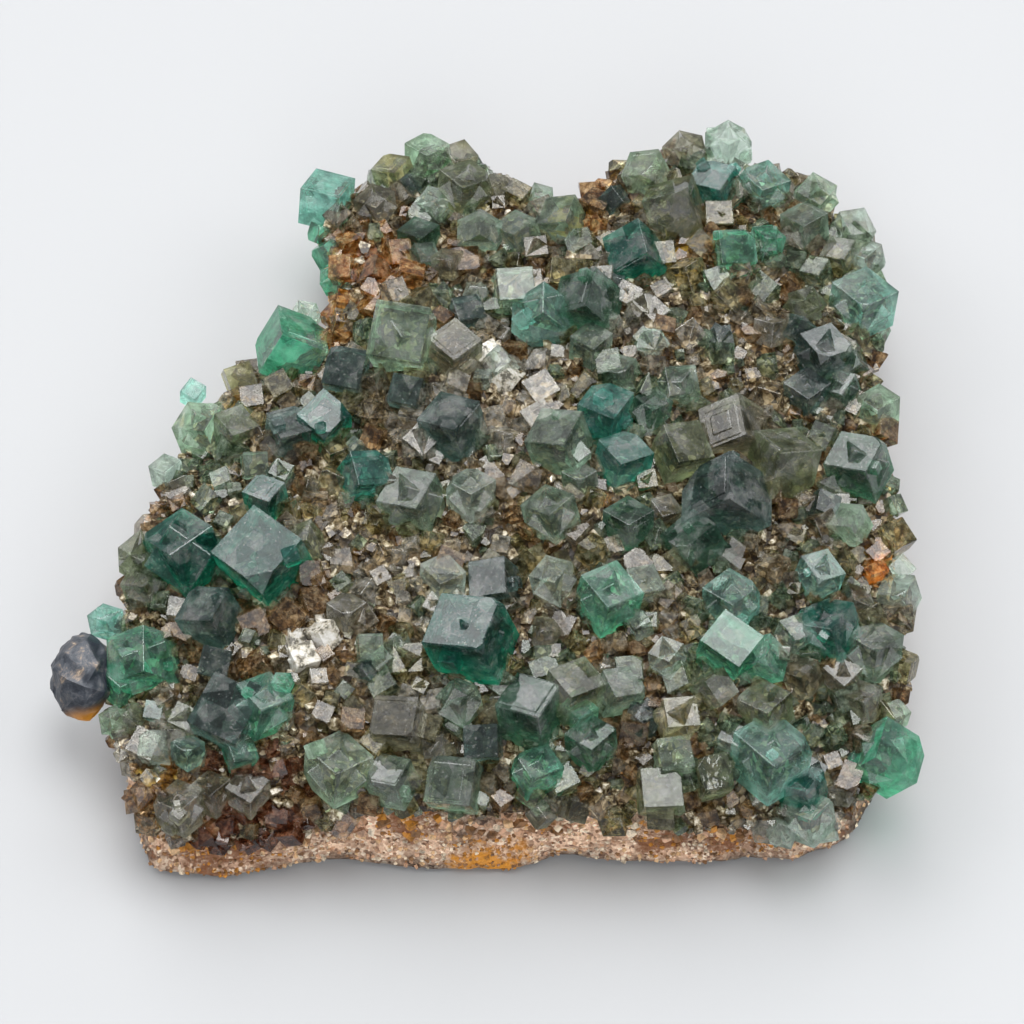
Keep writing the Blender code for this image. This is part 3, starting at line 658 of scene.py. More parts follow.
def fluorite(name, through, body, glow):
    """Clear fluorite: glass that takes light as it passes, with faint milky inner planes.

    through: the red, green and blue shares that pass through LIGHT_PATH of it.
    body: the colour of its milkiness.
    glow: the colour of the painted glow towards its foot.
    """
    made, tree, shader, place = new_crystal(name, clear=0.90, rough=0.02)
    planes = add(tree, "Group", node_tree=INNER_PLANES)
    tree.links.new(place, planes.inputs["Vector"])
    pale = [c + (1 - c) * 0.7 for c in body]
    dark = [c * 0.35 for c in body]
    colours = ramp(tree, planes.outputs["Tone"], [(0.45, dark), (0.68, body), (0.95, pale)])
    tree.links.new(colours, shader.inputs["Base Color"])
    waves = noise_of(tree, place, scale=260.0, detail=3.0, roughness=0.62)
    relief(tree, shader, waves, strength=0.28, depth=0.14 * MM)
    end = lit_through(tree, painted_glow_at_foot(tree, place, shader, glow), left=0.72)
    density, colour = absorption(through, LIGHT_PATH)
    volume = add(tree, "VolumeAbsorption")
    volume.inputs["Density"].default_value = density
    volume.inputs["Color"].default_value = (*colour, 1)
    tree.links.new(volume.outputs["Volume"], end.inputs["Volume"])
    return made


def worn_and_highlight_edge(name, body):
    """The bruised edges between a crystal's faces, pale and bright in the crystal's own hue: part
    wear, part painted highlight.
    """
    made, tree, shader, place = new_crystal(name, clear=0.35, rough=0.3)
    wear_and_highlight = noise_of(tree, place, scale=700.0, detail=2.0)
    full = [c / max(body) for c in body]
    pale = [0.45 * c + 0.50 for c in full]
    deep = [0.45 * c + 0.06 for c in full]
    tree.links.new(ramp(tree, wear_and_highlight, [(0.38, deep), (0.64, pale)]), shader.inputs["Base Color"])
    return made


def mottled(tree, place, shader, stops):
    """Colours the shader by these stops, different from place to place."""
    mottle = noise_of(tree, place, scale=620.0, detail=3.0, roughness=0.8)
    tree.links.new(ramp(tree, mottle, stops), shader.inputs["Base Color"])


def druse_glass(name, dark, light, clear, rough=0.02):
    """Small glassy crystals: part see-through, part milky."""
    made, tree, shader, place = new_crystal(name, clear, rough)
    middle = [(a + b) / 2 for a, b in zip(dark, light)]
    # The darkest tone, at random places, is painted shade of the gaps between the crystals
    painted_gap_shade = [c * 0.3 for c in dark]
    mottled(tree, place, shader, [(0.40, painted_gap_shade), (0.47, dark), (0.55, middle), (0.64, light)])
    lit_through(tree, shader.outputs["BSDF"], left=0.35)
    return made


def druse_grit(name):
    """Clouded grit between the small crystals, glossy and not see-through."""
    made, tree, shader, place = new_crystal(name, clear=0, rough=0.12)
    mottled(tree, place, shader, GRIT_TONES)
    return made


def stained(tree, place, colour, stains, ragged=None):
    """The colour under iron stains, whose edges the value ragged breaks up."""
    for spot, reach, hue in stains:
        stain = add(tree, "Group", node_tree=IRON_STAIN)
        tree.links.new(place, stain.inputs["Vector"])
        if ragged:
            tree.links.new(ragged, stain.inputs["Noise"])
        stain.inputs["Place"].default_value = [c * MM for c in spot]
        stain.inputs["Reach"].default_value = reach * MM
        mix = add(tree, "Mix", data_type="RGBA")
        tree.links.new(stain.outputs["Mask"], mix.inputs["Factor"])
        tree.links.new(colour, mix.inputs["A"])
        mix.inputs["B"].default_value = (*hue, 1)
        colour = mix.outputs["Result"]
    return colour


def stony(name, tones, stains, grain_scale, depth, rough):
    """Granular rock: grains of several tones under clouds and patches of iron stain."""
    made, tree, shader, place = new_material(name, rough)
    grains, tone = cells_of(tree, place)
    grains.inputs["Scale"].default_value = grain_scale
    colour = ramp(tree, tone, tones)
    clouds = noise_of(tree, place, scale=130.0, detail=5.0, roughness=0.72)
    colour = scaled(tree, colour, spread(tree, clouds, (0.38, 0.60), (0.22, 1.25)))
    split = add(tree, "SeparateXYZ")
    tree.links.new(place, split.inputs["Vector"])
    above_ground = spread(tree, split.outputs["Z"], DARK_FOOT, (0.3, 1.0), "SMOOTHSTEP")
    colour = scaled(tree, colour, above_ground)
    ragged = noise_of(tree, place, scale=260.0, detail=4.0, roughness=0.75)
    colour = stained(tree, place, colour, stains, ragged)
    tree.links.new(colour, shader.inputs["Base Color"])
    fine = noise_of(tree, place, scale=1500.0, detail=3.0, roughness=0.7)
    height = times_plus(tree, grains.outputs["Distance"], 0.8, fine)
    relief(tree, shader, height, strength=0.9, depth=depth)
    return made


def plain_grain(name, colour, rough):
    """Grains of the rock in one colour, darker in places."""
    made, tree, shader, place = new_material(name, rough)
    mottle = noise_of(tree, place, scale=900.0, detail=5.0, roughness=0.7)
    tones = ramp(tree, mottle, [(0.38, [c * 0.35 for c in colour]), (0.58, colour)])
    tree.links.new(tones, shader.inputs["Base Color"])
    return made


def galena_metal():
    """Tarnished galena: dark blue-grey, slightly metallic, with pale streaks and a stained foot."""
    made, tree, shader, place = new_material("galena", rough=0.45)
    streaks = noise_of(tree, place, scale=420.0, detail=8.0, roughness=0.8, distortion=0.5)
    colour = stained(tree, place, ramp(tree, streaks, GALENA_TONES), [GALENA_STAIN])
    tree.links.new(colour, shader.inputs["Base Color"])
    shader.inputs["Metallic"].default_value = 0.2
    relief(tree, shader, streaks, strength=0.3, depth=0.15 * MM)
    return made


# How thick a piece of fluorite is that lets the shares in KINDS through
LIGHT_PATH = 9 * MM

# Heights between which the rock's darker foot ends
DARK_FOOT = (0.4 * MM, 3.2 * MM)

# Each kind of fluorite: what passes through it, its milkiness, the colour of its painted glow at the
# foot
KINDS = {
    "deep": ((0.05, 0.36, 0.30), (0.07, 0.27, 0.23), (0.10, 0.86, 0.52)),
    "teal": ((0.10, 0.46, 0.40), (0.15, 0.42, 0.37), (0.20, 0.90, 0.68)),
    "emerald": ((0.22, 0.64, 0.48), (0.30, 0.64, 0.50), (0.36, 0.98, 0.66)),
    "aqua": ((0.38, 0.68, 0.60), (0.42, 0.66, 0.59), (0.55, 1.0, 0.86)),
    "mint": ((0.54, 0.72, 0.56), (0.57, 0.72, 0.58), (0.78, 1.0, 0.80)),
    "sage": ((0.38, 0.50, 0.40), (0.38, 0.49, 0.40), (0.66, 0.92, 0.72)),
    "forest": ((0.13, 0.31, 0.22), (0.17, 0.31, 0.23), (0.30, 0.66, 0.44)),
    "moss": ((0.34, 0.40, 0.24), (0.34, 0.39, 0.26), (0.66, 0.76, 0.52)),
    "slate": ((0.14, 0.26, 0.23), (0.15, 0.22, 0.21), (0.42, 0.62, 0.54)),
    "smoky": ((0.36, 0.36, 0.25), (0.36, 0.35, 0.26), (0.72, 0.72, 0.54)),
    "honey": ((0.54, 0.54, 0.32), (0.52, 0.52, 0.33), (0.86, 0.84, 0.50)),
    "ice": ((0.62, 0.74, 0.66), (0.66, 0.78, 0.69), (0.88, 1.0, 0.92)),
}
FLUORITE = {kind: fluorite("fluorite_" + kind, *looks) for kind, looks in KINDS.items()}
# Pale edges of each kind, part wear and part painted highlight
WORN_AND_HIGHLIGHT_EDGE = {kind: worn_and_highlight_edge("edge_" + kind, looks[1]) for kind, looks in KINDS.items()}

# Tones of the grit, from near-black brown to straw
GRIT_TONES = [
    (0.42, (0.018, 0.011, 0.005)), (0.50, (0.11, 0.080, 0.042)), (0.57, (0.27, 0.225, 0.14)),
    (0.66, (0.60, 0.55, 0.44)),
]

# Kinds of small crystals: their dark and light tone, how clear they are
DRUSE_KINDS = {
    "smoky": ((0.30, 0.24, 0.14), (0.92, 0.85, 0.68), 0.91),
    "olive": ((0.28, 0.26, 0.11), (0.88, 0.85, 0.56), 0.91),
    "brown": ((0.26, 0.14, 0.05), (0.86, 0.64, 0.38), 0.89),
    "pale": ((0.52, 0.49, 0.38), (0.99, 0.97, 0.89), 0.88),
    "green": ((0.22, 0.33, 0.20), (0.76, 0.92, 0.72), 0.91),
    "red": ((0.16, 0.05, 0.02), (0.60, 0.34, 0.22), 0.86),
    "amber": ((0.40, 0.16, 0.03), (0.98, 0.70, 0.34), 0.84),
    "sugar": ((0.60, 0.56, 0.46), (1.0, 0.99, 0.95), 0.45),
}
# Pale edges of the small crystals, part wear and part painted highlight
DRUSE_WORN_AND_HIGHLIGHT_EDGE = druse_glass("druse_edge_wear_and_highlight", (0.46, 0.42, 0.32), (0.98, 0.95, 0.87), 0.5, 0.12)
DRUSE = {kind: druse_glass("druse_" + kind, *looks) for kind, looks in DRUSE_KINDS.items()}
DRUSE["grit"] = druse_grit("druse_grit")

# Iron stains: place in millimetres, reach in millimetres, colour
ORANGE = (0.74, 0.30, 0.02)
YELLOW = (0.55, 0.36, 0.05)
RUST = (0.24, 0.09, 0.03)
SIDE_STAINS = [
    ((0, -48, 3), 8, ORANGE), ((23, -46, 6), 5, RUST), ((21, -46, 9), 3, ORANGE),
    ((-37, -47, 8), 13, RUST), ((-18, -46, 9), 2, ORANGE), ((56, -9, 15), 4, ORANGE),
    ((-12, -46, 12), 9, RUST), ((8, -47, 10), 7, RUST), ((-53, -31, 11), 5, ORANGE),
    ((-50, -41, 9), 6, ORANGE), ((14, 52, 12), 5, ORANGE),
    ((52, -47, 5), 6, RUST), ((34, -46, 6), 7, RUST), ((-42, -48, 3), 4, RUST),
]
TOP_STAINS = [
    ((-18, 37, 17), 9, RUST), ((-22, 30, 15), 5, YELLOW), ((-46, -41, 11), 6, YELLOW),
    ((-34, -47, 8), 13, RUST), ((12, 46, 13), 5, YELLOW), ((27, 41, 17), 6, YELLOW),
    ((-36, 16, 15), 5, YELLOW), ((54, -9, 16), 4, ORANGE),
]
GALENA_STAIN = ((-54.5, -30.5, 10.5), 7, ORANGE)

# Tones of the rock, of the bed between the crystals and of the galena
ROCK_TONES = [
    (0.0, (0.16, 0.08, 0.05)), (0.15, (0.44, 0.27, 0.17)), (0.45, (0.64, 0.42, 0.29)),
    (0.75, (0.80, 0.57, 0.40)), (1.0, (1.0, 0.84, 0.66)),
]
# The bed's darkest tones are painted shade of the gaps between the crystals
BED_TONES_AND_GAP_SHADE = [
    (0.0, (0.010, 0.005, 0.002)), (0.35, (0.050, 0.028, 0.009)), (0.65, (0.15, 0.094, 0.038)),
    (0.88, (0.30, 0.22, 0.12)), (1.0, (0.60, 0.52, 0.38)),
]
GALENA_TONES = [
    (0.40, (0.008, 0.012, 0.020)), (0.49, (0.024, 0.030, 0.040)), (0.56, (0.062, 0.064, 0.07)),
    (0.62, (0.16, 0.12, 0.09)), (0.70, (0.50, 0.41, 0.29)),
]
ROCK_STONE = stony("rock", ROCK_TONES, SIDE_STAINS, grain_scale=2300.0, depth=0.32 * MM, rough=0.7)
BED_STONE = stony("crust_bed", BED_TONES_AND_GAP_SHADE, TOP_STAINS, grain_scale=1100.0, depth=0.4 * MM, rough=0.3)
GRAINS = {
    "tan": plain_grain("grain_tan", (0.80, 0.52, 0.28), 0.5),
    "rose": plain_grain("grain_rose", (0.72, 0.44, 0.28), 0.5),
    "cream": plain_grain("grain_cream", (0.95, 0.80, 0.60), 0.4),
    "umber": plain_grain("grain_umber", (0.30, 0.15, 0.06), 0.6),
    "ochre": plain_grain("grain_ochre", (0.62, 0.27, 0.04), 0.6),
}
GALENA = galena_metal()


# The rock

def rock():
    """The slab's rock: the plain slab, broken up by ledges, bulges, lumps and pits."""
    piece = copy_of("rock_matrix", "rock")
    remesh = piece.modifiers.new("even", "REMESH")
    remesh.mode = "VOXEL"
    remesh.voxel_size = ROCK_VOXEL
    apply_all(piece)
    mesh = piece.data
    for vert, normal in zip(mesh.vertices, normals_of(piece)):
        place = vert.co
        sideways = 1 - abs(normal.z)
        across = Vector((place.x * LEDGES_ACROSS, place.y * LEDGES_ACROSS, place.z * LEDGES_UP))
        ledges = noise.noise(across) * LEDGE_HEIGHT * sideways
        bulges = lumps(place, ROCK_BULGES) * sideways
        out = lumps(place, ROCK_LUMPS) + ledges + bulges
        push = (out - SIDE_SETBACK * sideways - pits(place, *ROCK_PITS)) * MM
        if place.z < FLAT_FOOT:
            push = 0
        vert.co = place + normal * push
        vert.co.z = max(vert.co.z, 0)
    mesh.materials.append(ROCK_STONE)
    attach(piece, "root")
    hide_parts("rock_matrix")
    return piece


# Places on the crust, as the solids have them

VIEW_RIGHT = Vector((1, 0, 0))
VIEW_UP = Vector((0, math.sin(VIEW_ELEVATION), math.cos(VIEW_ELEVATION)))
VIEW_TOWARDS = Vector((0, -math.cos(VIEW_ELEVATION), math.sin(VIEW_ELEVATION)))


def rim_polar():
    """The rim as (angle, radius, height), by angle round the slab's centre."""
    cx, cy = SLAB_CENTRE
    rows = [(math.atan2(y - cy, x - cx), math.hypot(x - cx, y - cy), z) for x, y, z in RIM]
    rows.sort()
    first, last = rows[0], rows[-1]
    turn = 2 * math.pi
    return [(last[0] - turn, *last[1:]), *rows, (first[0] + turn, *first[1:])]


RIM_POLAR = rim_polar()


def rim_towards(x, y):
    """Share of the way from the slab's centre to its rim, and the rim's height there."""
    cx, cy = SLAB_CENTRE
    angle = math.atan2(y - cy, x - cx)
    for one, two in zip(RIM_POLAR, RIM_POLAR[1:]):
        if one[0] <= angle <= two[0]:
            share = (angle - one[0]) / (two[0] - one[0])
            radius = one[1] + (two[1] - one[1]) * share
            return math.hypot(x - cx, y - cy) / radius, one[2] + (two[2] - one[2]) * share
    raise ValueError("angle outside the rim's table")


def crust_height(x, y):
    """Height of the crust's top in millimetres, without its crystals."""
    out, rim_height = rim_towards(x, y)
    swell = 1 - min(out, 1) ** DOME_POWER
    waves = 0.7 * math.sin(0.13 * x + 0.9) * math.cos(0.11 * y)
    waves += 0.5 * math.sin(0.21 * x + 0.17 * y) + 0.35 * math.cos(0.33 * x - 0.27 * y)
    fall = 18 * max(out - 1, 0)
    return rim_height + (TOP_HEIGHT - rim_height) * swell + waves - fall


def seat(x, seen_y, lift):
    """The point in millimetres, lift above the crust, that shows at (x, seen_y)."""
    y = seen_y
    for _ in range(SEAT_ROUNDS):
        z = crust_height(x, y) + lift
        y = seen_y - (z - SEEN_HEIGHT) / math.tan(VIEW_ELEVATION)
    return Vector((x, y, z))


def cube_axes(angles):
    """A cube's three edge directions, from how they run from its near corner as seen."""
    a, b, c = (math.radians(v) for v in angles)
    squares = [math.sin(2 * (c - b)), math.sin(2 * (a - c)), math.sin(2 * (b - a))]
    edges = []
    for angle, square in zip((a, b, c), squares):
        share = 2 * square / sum(squares)
        across = math.cos(angle) * VIEW_RIGHT + math.sin(angle) * VIEW_UP
        edges.append(math.sqrt(share) * across - math.sqrt(max(1 - share, 0)) * VIEW_TOWARDS)
    turned = Matrix(edges).transposed()
    return turned if turned.determinant() > 0 else turned @ Matrix.Diagonal((1, 1, -1))


def any_turn(chance):
    """A random turn."""
    return Euler([chance.uniform(0, 2 * math.pi) for _ in range(3)]).to_matrix()


# The bed

def bed():
    """The crust's body: a sheet over the rock, uneven and pitted between the crystals."""
    low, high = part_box("druse_crust")
    size = high - low
    bpy.ops.mesh.primitive_grid_add(
        x_subdivisions=round(size.x / BED_STEP), y_subdivisions=round(size.y / BED_STEP),
        size=1, location=(low + high) / 2,
    )
    piece = bpy.context.object
    piece.name = "druse_bed"
    piece.scale = (size.x, size.y, 1)
    bpy.ops.object.transform_apply(location=True, rotation=True, scale=True)
    bpy.ops.object.mode_set(mode="EDIT")
    bpy.ops.mesh.select_all(action="DESELECT")
    bpy.ops.object.mode_set(mode="OBJECT")
    for vert in piece.data.vertices:
        x, y = vert.co.x / MM, vert.co.y / MM
        vert.select = rim_towards(x, y)[0] > BED_REACH
        vert.co.z = crust_height(x, y) * MM - BED_SINK
    bpy.ops.object.mode_set(mode="EDIT")
    bpy.ops.mesh.delete(type="VERT")
    bpy.ops.object.mode_set(mode="OBJECT")
    wall = piece.modifiers.new("thickness", "SOLIDIFY")
    wall.thickness = BED_THICKNESS
    wall.offset = -1
    even = piece.modifiers.new("even", "REMESH")
    even.mode = "VOXEL"
    even.voxel_size = BED_VOXEL
    apply_all(piece)
    for vert, normal in zip(piece.data.vertices, normals_of(piece)):
        place = vert.co.copy()
        out = lumps(place, BED_LUMPS) - pits(place, *BED_PITS, BED_PITS_SHIFT)
        vert.co = place + normal * out * MM
    piece.data.materials.clear()
    piece.data.materials.append(BED_STONE)
    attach(piece, "root")
    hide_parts("druse_crust")
    return piece


# Crystals

def select_by(piece, kind, wanted):
    """Selects the piece's faces or edges for which wanted says so, in edit mode."""
    bpy.ops.mesh.select_all(action="DESELECT")
    shape = bmesh.from_edit_mesh(piece.data)
    for element in getattr(shape, kind):
        if wanted(element):
            element.select_set(True)
    shape.select_flush_mode()
    bmesh.update_edit_mesh(piece.data)


def is_outer_edge(edge):
    """Whether a crystal's edge stands out between two faces, so that it takes the pale band of wear
    and painted highlight.
    """
    return edge.is_manifold and edge.is_convex and edge.calc_face_angle() > WORN_AND_HIGHLIGHT_ANGLE


def raise_step(piece, edge, chance):
    """A growth step: a low plateau or shallow hollow, off the middle of one broad face."""
    broad = [face.index for face in piece.data.polygons if face.area > BROAD_FACE * edge * edge]
    if not broad:
        return
    number = chance.choice(broad)
    select_by(piece, "faces", lambda face: face.index == number)
    bpy.ops.mesh.inset(thickness=edge * chance.uniform(*STEP_MARGIN), depth=0)
    normal = piece.data.polygons[number].normal
    aside = Vector([chance.uniform(-STEP_ASIDE, STEP_ASIDE) for _ in range(3)]) * edge
    bpy.ops.transform.translate(value=aside - normal * aside.dot(normal))
    rise = edge * chance.choice(STEP_RISES)
    bpy.ops.mesh.inset(thickness=edge * STEP_RIM, depth=rise)


def chip_corner(edge, chance):
    """Cleaves one corner off the cube in edit mode, across its diagonal."""
    corner = Vector([chance.choice((-1, 1)) for _ in range(3)])
    lean = Vector([chance.uniform(-CHIP_LEAN, CHIP_LEAN) for _ in range(3)])
    across = corner.normalized() + lean
    depth = chance.uniform(*CHIP_DEPTH) * edge
    bpy.ops.mesh.select_all(action="SELECT")
    bpy.ops.mesh.bisect(
        plane_co=corner * edge / 2 - across.normalized() * depth, plane_no=across,
        use_fill=True, clear_outer=True,
    )


def cube(name, edge, chance, steps, chips):
    """A crystal's cube about the origin: steps on its faces, chips off its corners."""
    clear_selection()
    bpy.ops.mesh.primitive_cube_add(size=edge)
    piece = bpy.context.object
    piece.name = name
    bpy.ops.object.mode_set(mode="EDIT")
    for _ in range(steps):
        raise_step(piece, edge, chance)
    for _ in range(chips):
        chip_corner(edge, chance)
    bpy.ops.object.mode_set(mode="OBJECT")
    return piece


def crystal_shape(name, edge, twin, chance, steps, chips, wear_and_highlight):
    """A crystal about the origin, with its twin if it has one and a pale band on its edges, part wear
    and part painted highlight.
    """
    piece = cube(name, edge, chance, 0 if twin else steps, chips)
    if twin:
        other = cube(name + "_twin", edge * twin, chance, 0, 0)
        diagonal = Vector((1, 1, 1)).normalized()
        other.data.transform(Matrix.Rotation(TWIN_TURN, 4, diagonal))
        join = piece.modifiers.new("grown", "BOOLEAN")
        join.operation = "UNION"
        join.solver = "EXACT"
        join.object = other
        apply_all(piece)
        bpy.data.objects.remove(other)
    sides = [chance.uniform(1 - UNEVENNESS, 1 + UNEVENNESS) for _ in range(3)]
    piece.data.transform(Matrix.Diagonal((*sides, 1)))
    corners = np.array([v.co for v in piece.data.vertices])
    low, high = corners.min(axis=0), corners.max(axis=0)
    take(piece)
    bpy.ops.object.mode_set(mode="EDIT")
    bpy.ops.mesh.select_mode(type="EDGE")
    select_by(piece, "edges", is_outer_edge)
    bpy.ops.mesh.bevel(offset=edge * wear_and_highlight, segments=1, affect="EDGES", material=1, clamp_overlap=True)
    bpy.ops.mesh.select_mode(type="FACE")
    bpy.ops.object.mode_set(mode="OBJECT")
    for vert in piece.data.vertices:
        vert.co = np.clip(vert.co, low, high)
    return piece


def mark_foot(mesh, shares):
    """Stores how far each corner lies from its crystal's top towards its foot."""
    foot = mesh.attributes.new(FOOT, "FLOAT", "POINT")
    foot.data.foreach_set("value", shares)


def foot_shares(heights):
    """Shares of the way down, from 0 at the highest of these heights to 1 at the lowest."""
    high, low = heights.max(), heights.min()
    return (high - heights) / (high - low)


def inside_box(centre, turned, edge):
    """A crystal's cube as numbers: its middle, its turn back to upright and half its edge."""
    return centre, turned.transposed(), edge / 2


def node_at(centre):
    """The crystal node that holds this point."""
    best, found = None, None
    for name, tree in CRYSTAL_TREES.items():
        near = tree.find_nearest(centre)
        if best is None or near[3] < best:
            best, found = near[3], name
    return found


def large_crystals(chance):
    """The large crystals, one piece each, in place of the solids' nodes."""
    rows = []
    for number, (x, y, edge, angles, twin, kind) in enumerate(LARGE, 1):
        turned = cube_axes(angles)
        centre = seat(x, y, edge * LARGE_LIFT) * MM
        size = edge * MM
        chips = chance.choice(LARGE_CHIPS)
        name = f"{kind}_fluorite_{number:02d}"
        piece = crystal_shape(name, size, twin, chance, LARGE_STEPS, chips, WEAR_AND_HIGHLIGHT)
        piece.data.transform(Matrix.Translation(centre) @ turned.to_4x4())
        piece.data.materials.append(FLUORITE[kind])
        piece.data.materials.append(WORN_AND_HIGHLIGHT_EDGE[kind])
        heights = np.array([v.co.z for v in piece.data.vertices])
        mark_foot(piece.data, foot_shares(heights))
        node = node_at(centre)
        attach(piece, "root")
        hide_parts(node)
        rows.append((kind, centre, turned, size))
    return rows


def shard(name, chance):
    """An irregular piece of unit size: a cube cleaved by several planes."""
    piece = cube(name, 1.0, chance, 0, SHARD_CHIPS)
    take(piece)
    bpy.ops.object.mode_set(mode="EDIT")
    for _ in range(SHARD_CUTS):
        across = Vector([chance.gauss(0, 1) for _ in range(3)]).normalized()
        bpy.ops.mesh.select_all(action="SELECT")
        bpy.ops.mesh.bisect(
            plane_co=across * chance.uniform(*SHARD_DEPTH), plane_no=across,
            use_fill=True, clear_outer=True,
        )
    bpy.ops.object.mode_set(mode="OBJECT")
    return piece


def as_seed(piece):
    """The piece's mesh as numbers to copy: corners, faces and which faces take the edge band of wear
    and painted highlight.
    """
    mesh = piece.data
    corners = np.array([v.co for v in mesh.vertices])
    faces = [list(p.vertices) for p in mesh.polygons]
    worn_and_highlight = [p.material_index for p in mesh.polygons]
    bpy.data.objects.remove(piece)
    return corners, faces, worn_and_highlight


def crystal_seeds(chance):
    """Crystals of unit size to copy, with edge bands of wear and painted highlight: plain, stepped,
    chipped and twinned.
    """
    seeds = []
    for number, (twin, steps, chips) in enumerate(SEED_PLANS):
        piece = crystal_shape(f"seed_{number}", 1.0, twin, chance, steps, chips, SEED_WEAR_AND_HIGHLIGHT)
        seeds.append(as_seed(piece))
    return seeds


def shard_seeds(chance):
    """Irregular pieces of unit size to copy."""
    return [as_seed(shard(f"shard_{number}", chance)) for number in range(SHARD_COUNT)]


def joined(name, seeds, placed, materials):
    """One piece of many copies; placed holds (seed number, centre, turn, edge)."""
    corners, faces, worn_and_highlight, shares, start = [], [], [], [], 0
    for number, centre, turned, edge in placed:
        seed_corners, seed_faces, seed_worn_and_highlight = seeds[number]
        own = seed_corners @ np.array(turned.transposed()) * edge + np.array(centre)
        corners.append(own)
        shares.append(foot_shares(own[:, 2]))
        faces += [[start + i for i in face] for face in seed_faces]
        worn_and_highlight += seed_worn_and_highlight
        start += len(seed_corners)
    mesh = bpy.data.meshes.new(name)
    inside = np.clip(np.concatenate(corners), cad_low, cad_high)
    mesh.from_pydata(inside.tolist(), [], faces)
    for material in materials:
        mesh.materials.append(material)
    mesh.polygons.foreach_set("material_index", worn_and_highlight)
    mark_foot(mesh, np.concatenate(shares))
    mesh.update()
    piece = bpy.data.objects.new(name, mesh)
    bpy.context.scene.collection.objects.link(piece)
    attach(piece, "root")


def satellites(large, chance):
    """Little crystals grown on the large ones' faces, most of them parallel to their host."""
    rows = []
    for kind, centre, turned, edge in large:
        for _ in range(chance.randint(*SATELLITES)):
            side = chance.randrange(3)
            local = Vector([chance.uniform(-SATELLITE_ASIDE, SATELLITE_ASIDE) for _ in range(3)])
            local[side] = chance.choice((-0.5, 0.5))
            place = centre + turned @ local * edge
            if place.z < centre.z - SATELLITE_LOWEST * edge:
                continue
            own = turned if chance.random() < SATELLITE_PARALLEL else any_turn(chance)
            rows.append((kind, place, own, edge * chance.uniform(*SATELLITE_SIZE)))
    return rows


def middling_crystals(seeds, large, chance):
    """Crystals half the large ones' size and less, joined by kind."""
    boxes, placed = [], {}
    for kind, place, turned, edge in satellites(large, chance):
        number = chance.randrange(len(seeds))
        placed.setdefault(kind, []).append((number, place, turned, edge))
    rows = [(x, y, edge, cube_axes(angles), kind) for x, y, edge, angles, kind in MIDDLING]
    rows += [(x, y, edge, any_turn(chance), kind) for x, y, edge, kind in STRAY]
    for x, y, edge, turned, kind in rows:
        centre = seat(x, y, edge * SMALL_LIFT) * MM
        number = chance.randrange(len(seeds))
        placed.setdefault(kind, []).append((number, centre, turned, edge * MM))
        boxes.append(inside_box(centre, turned, edge * MM))
    for kind, rows in placed.items():
        joined("middling_" + kind, seeds, rows, [FLUORITE[kind], WORN_AND_HIGHLIGHT_EDGE[kind]])
    return boxes


# The druse

def covered(place, boxes, margin):
    """Whether the place lies inside one of the boxes, or within the margin of it."""
    for centre, back, half in boxes:
        away = place - centre
        if away.length > half * CORNER_REACH + margin:
            continue
        local = back @ away
        if max(abs(local.x), abs(local.y), abs(local.z)) < half + margin:
            return True
    return False


def druse_kind(place, chance):
    """Which small crystals grow at a place: its patch's own kind, or a mixture."""
    x = place.x / MM
    y = place.y / MM + (place.z / MM - SEEN_HEIGHT) / math.tan(VIEW_ELEVATION)
    for px, py, reach, kind in PATCHES:
        near = math.hypot(x - px, y - py) / reach
        if chance.random() < PATCH_MIDDLE - PATCH_FALL * near * near:
            return kind
    kinds, weights = zip(*MIXTURE)
    return chance.choices(kinds, weights)[0]


def druse(bed_piece, seeds, shards, boxes, chance):
    """The small crystals that cover the crust, joined by kind."""
    mesh = bed_piece.data
    mesh.calc_loop_triangles()
    triangles = [t for t in mesh.loop_triangles if t.normal.z > DRUSE_LOWEST]
    areas = [t.area for t in triangles]
    taken, placed = {}, {}
    for low, high, count, spacing, broken in DRUSE_SIZES:
        for triangle in chance.choices(triangles, areas, k=count):
            corners = [mesh.vertices[i].co for i in triangle.vertices]
            edge = chance.uniform(low, high) * MM
            lift = chance.uniform(*DRUSE_LIFT) * edge
            place = sum(corners, Vector()) / 3 + triangle.normal * lift
            home = (int(place.x // DRUSE_CELL), int(place.y // DRUSE_CELL))
            near = [row for i in (-1, 0, 1) for j in (-1, 0, 1)
                    for row in taken.get((home[0] + i, home[1] + j), ())]
            if any((place - other).length < spacing * (edge + reach) for other, reach in near):
                continue
            if covered(place, boxes, -DRUSE_SUNK * edge):
                continue
            taken.setdefault(home, []).append((place, edge))
            kind = druse_kind(place, chance)
            if high <= GRIT_BELOW and chance.random() < GRIT_SHARE:
                kind = "grit"
            number = chance.randrange(len(seeds))
            if chance.random() < broken:
                number = len(seeds) + chance.randrange(len(shards))
            placed.setdefault(kind, []).append((number, place, any_turn(chance), edge))
    for kind, rows in placed.items():
        joined("druse_" + kind, seeds + shards, rows, [DRUSE[kind], DRUSE_WORN_AND_HIGHLIGHT_EDGE])


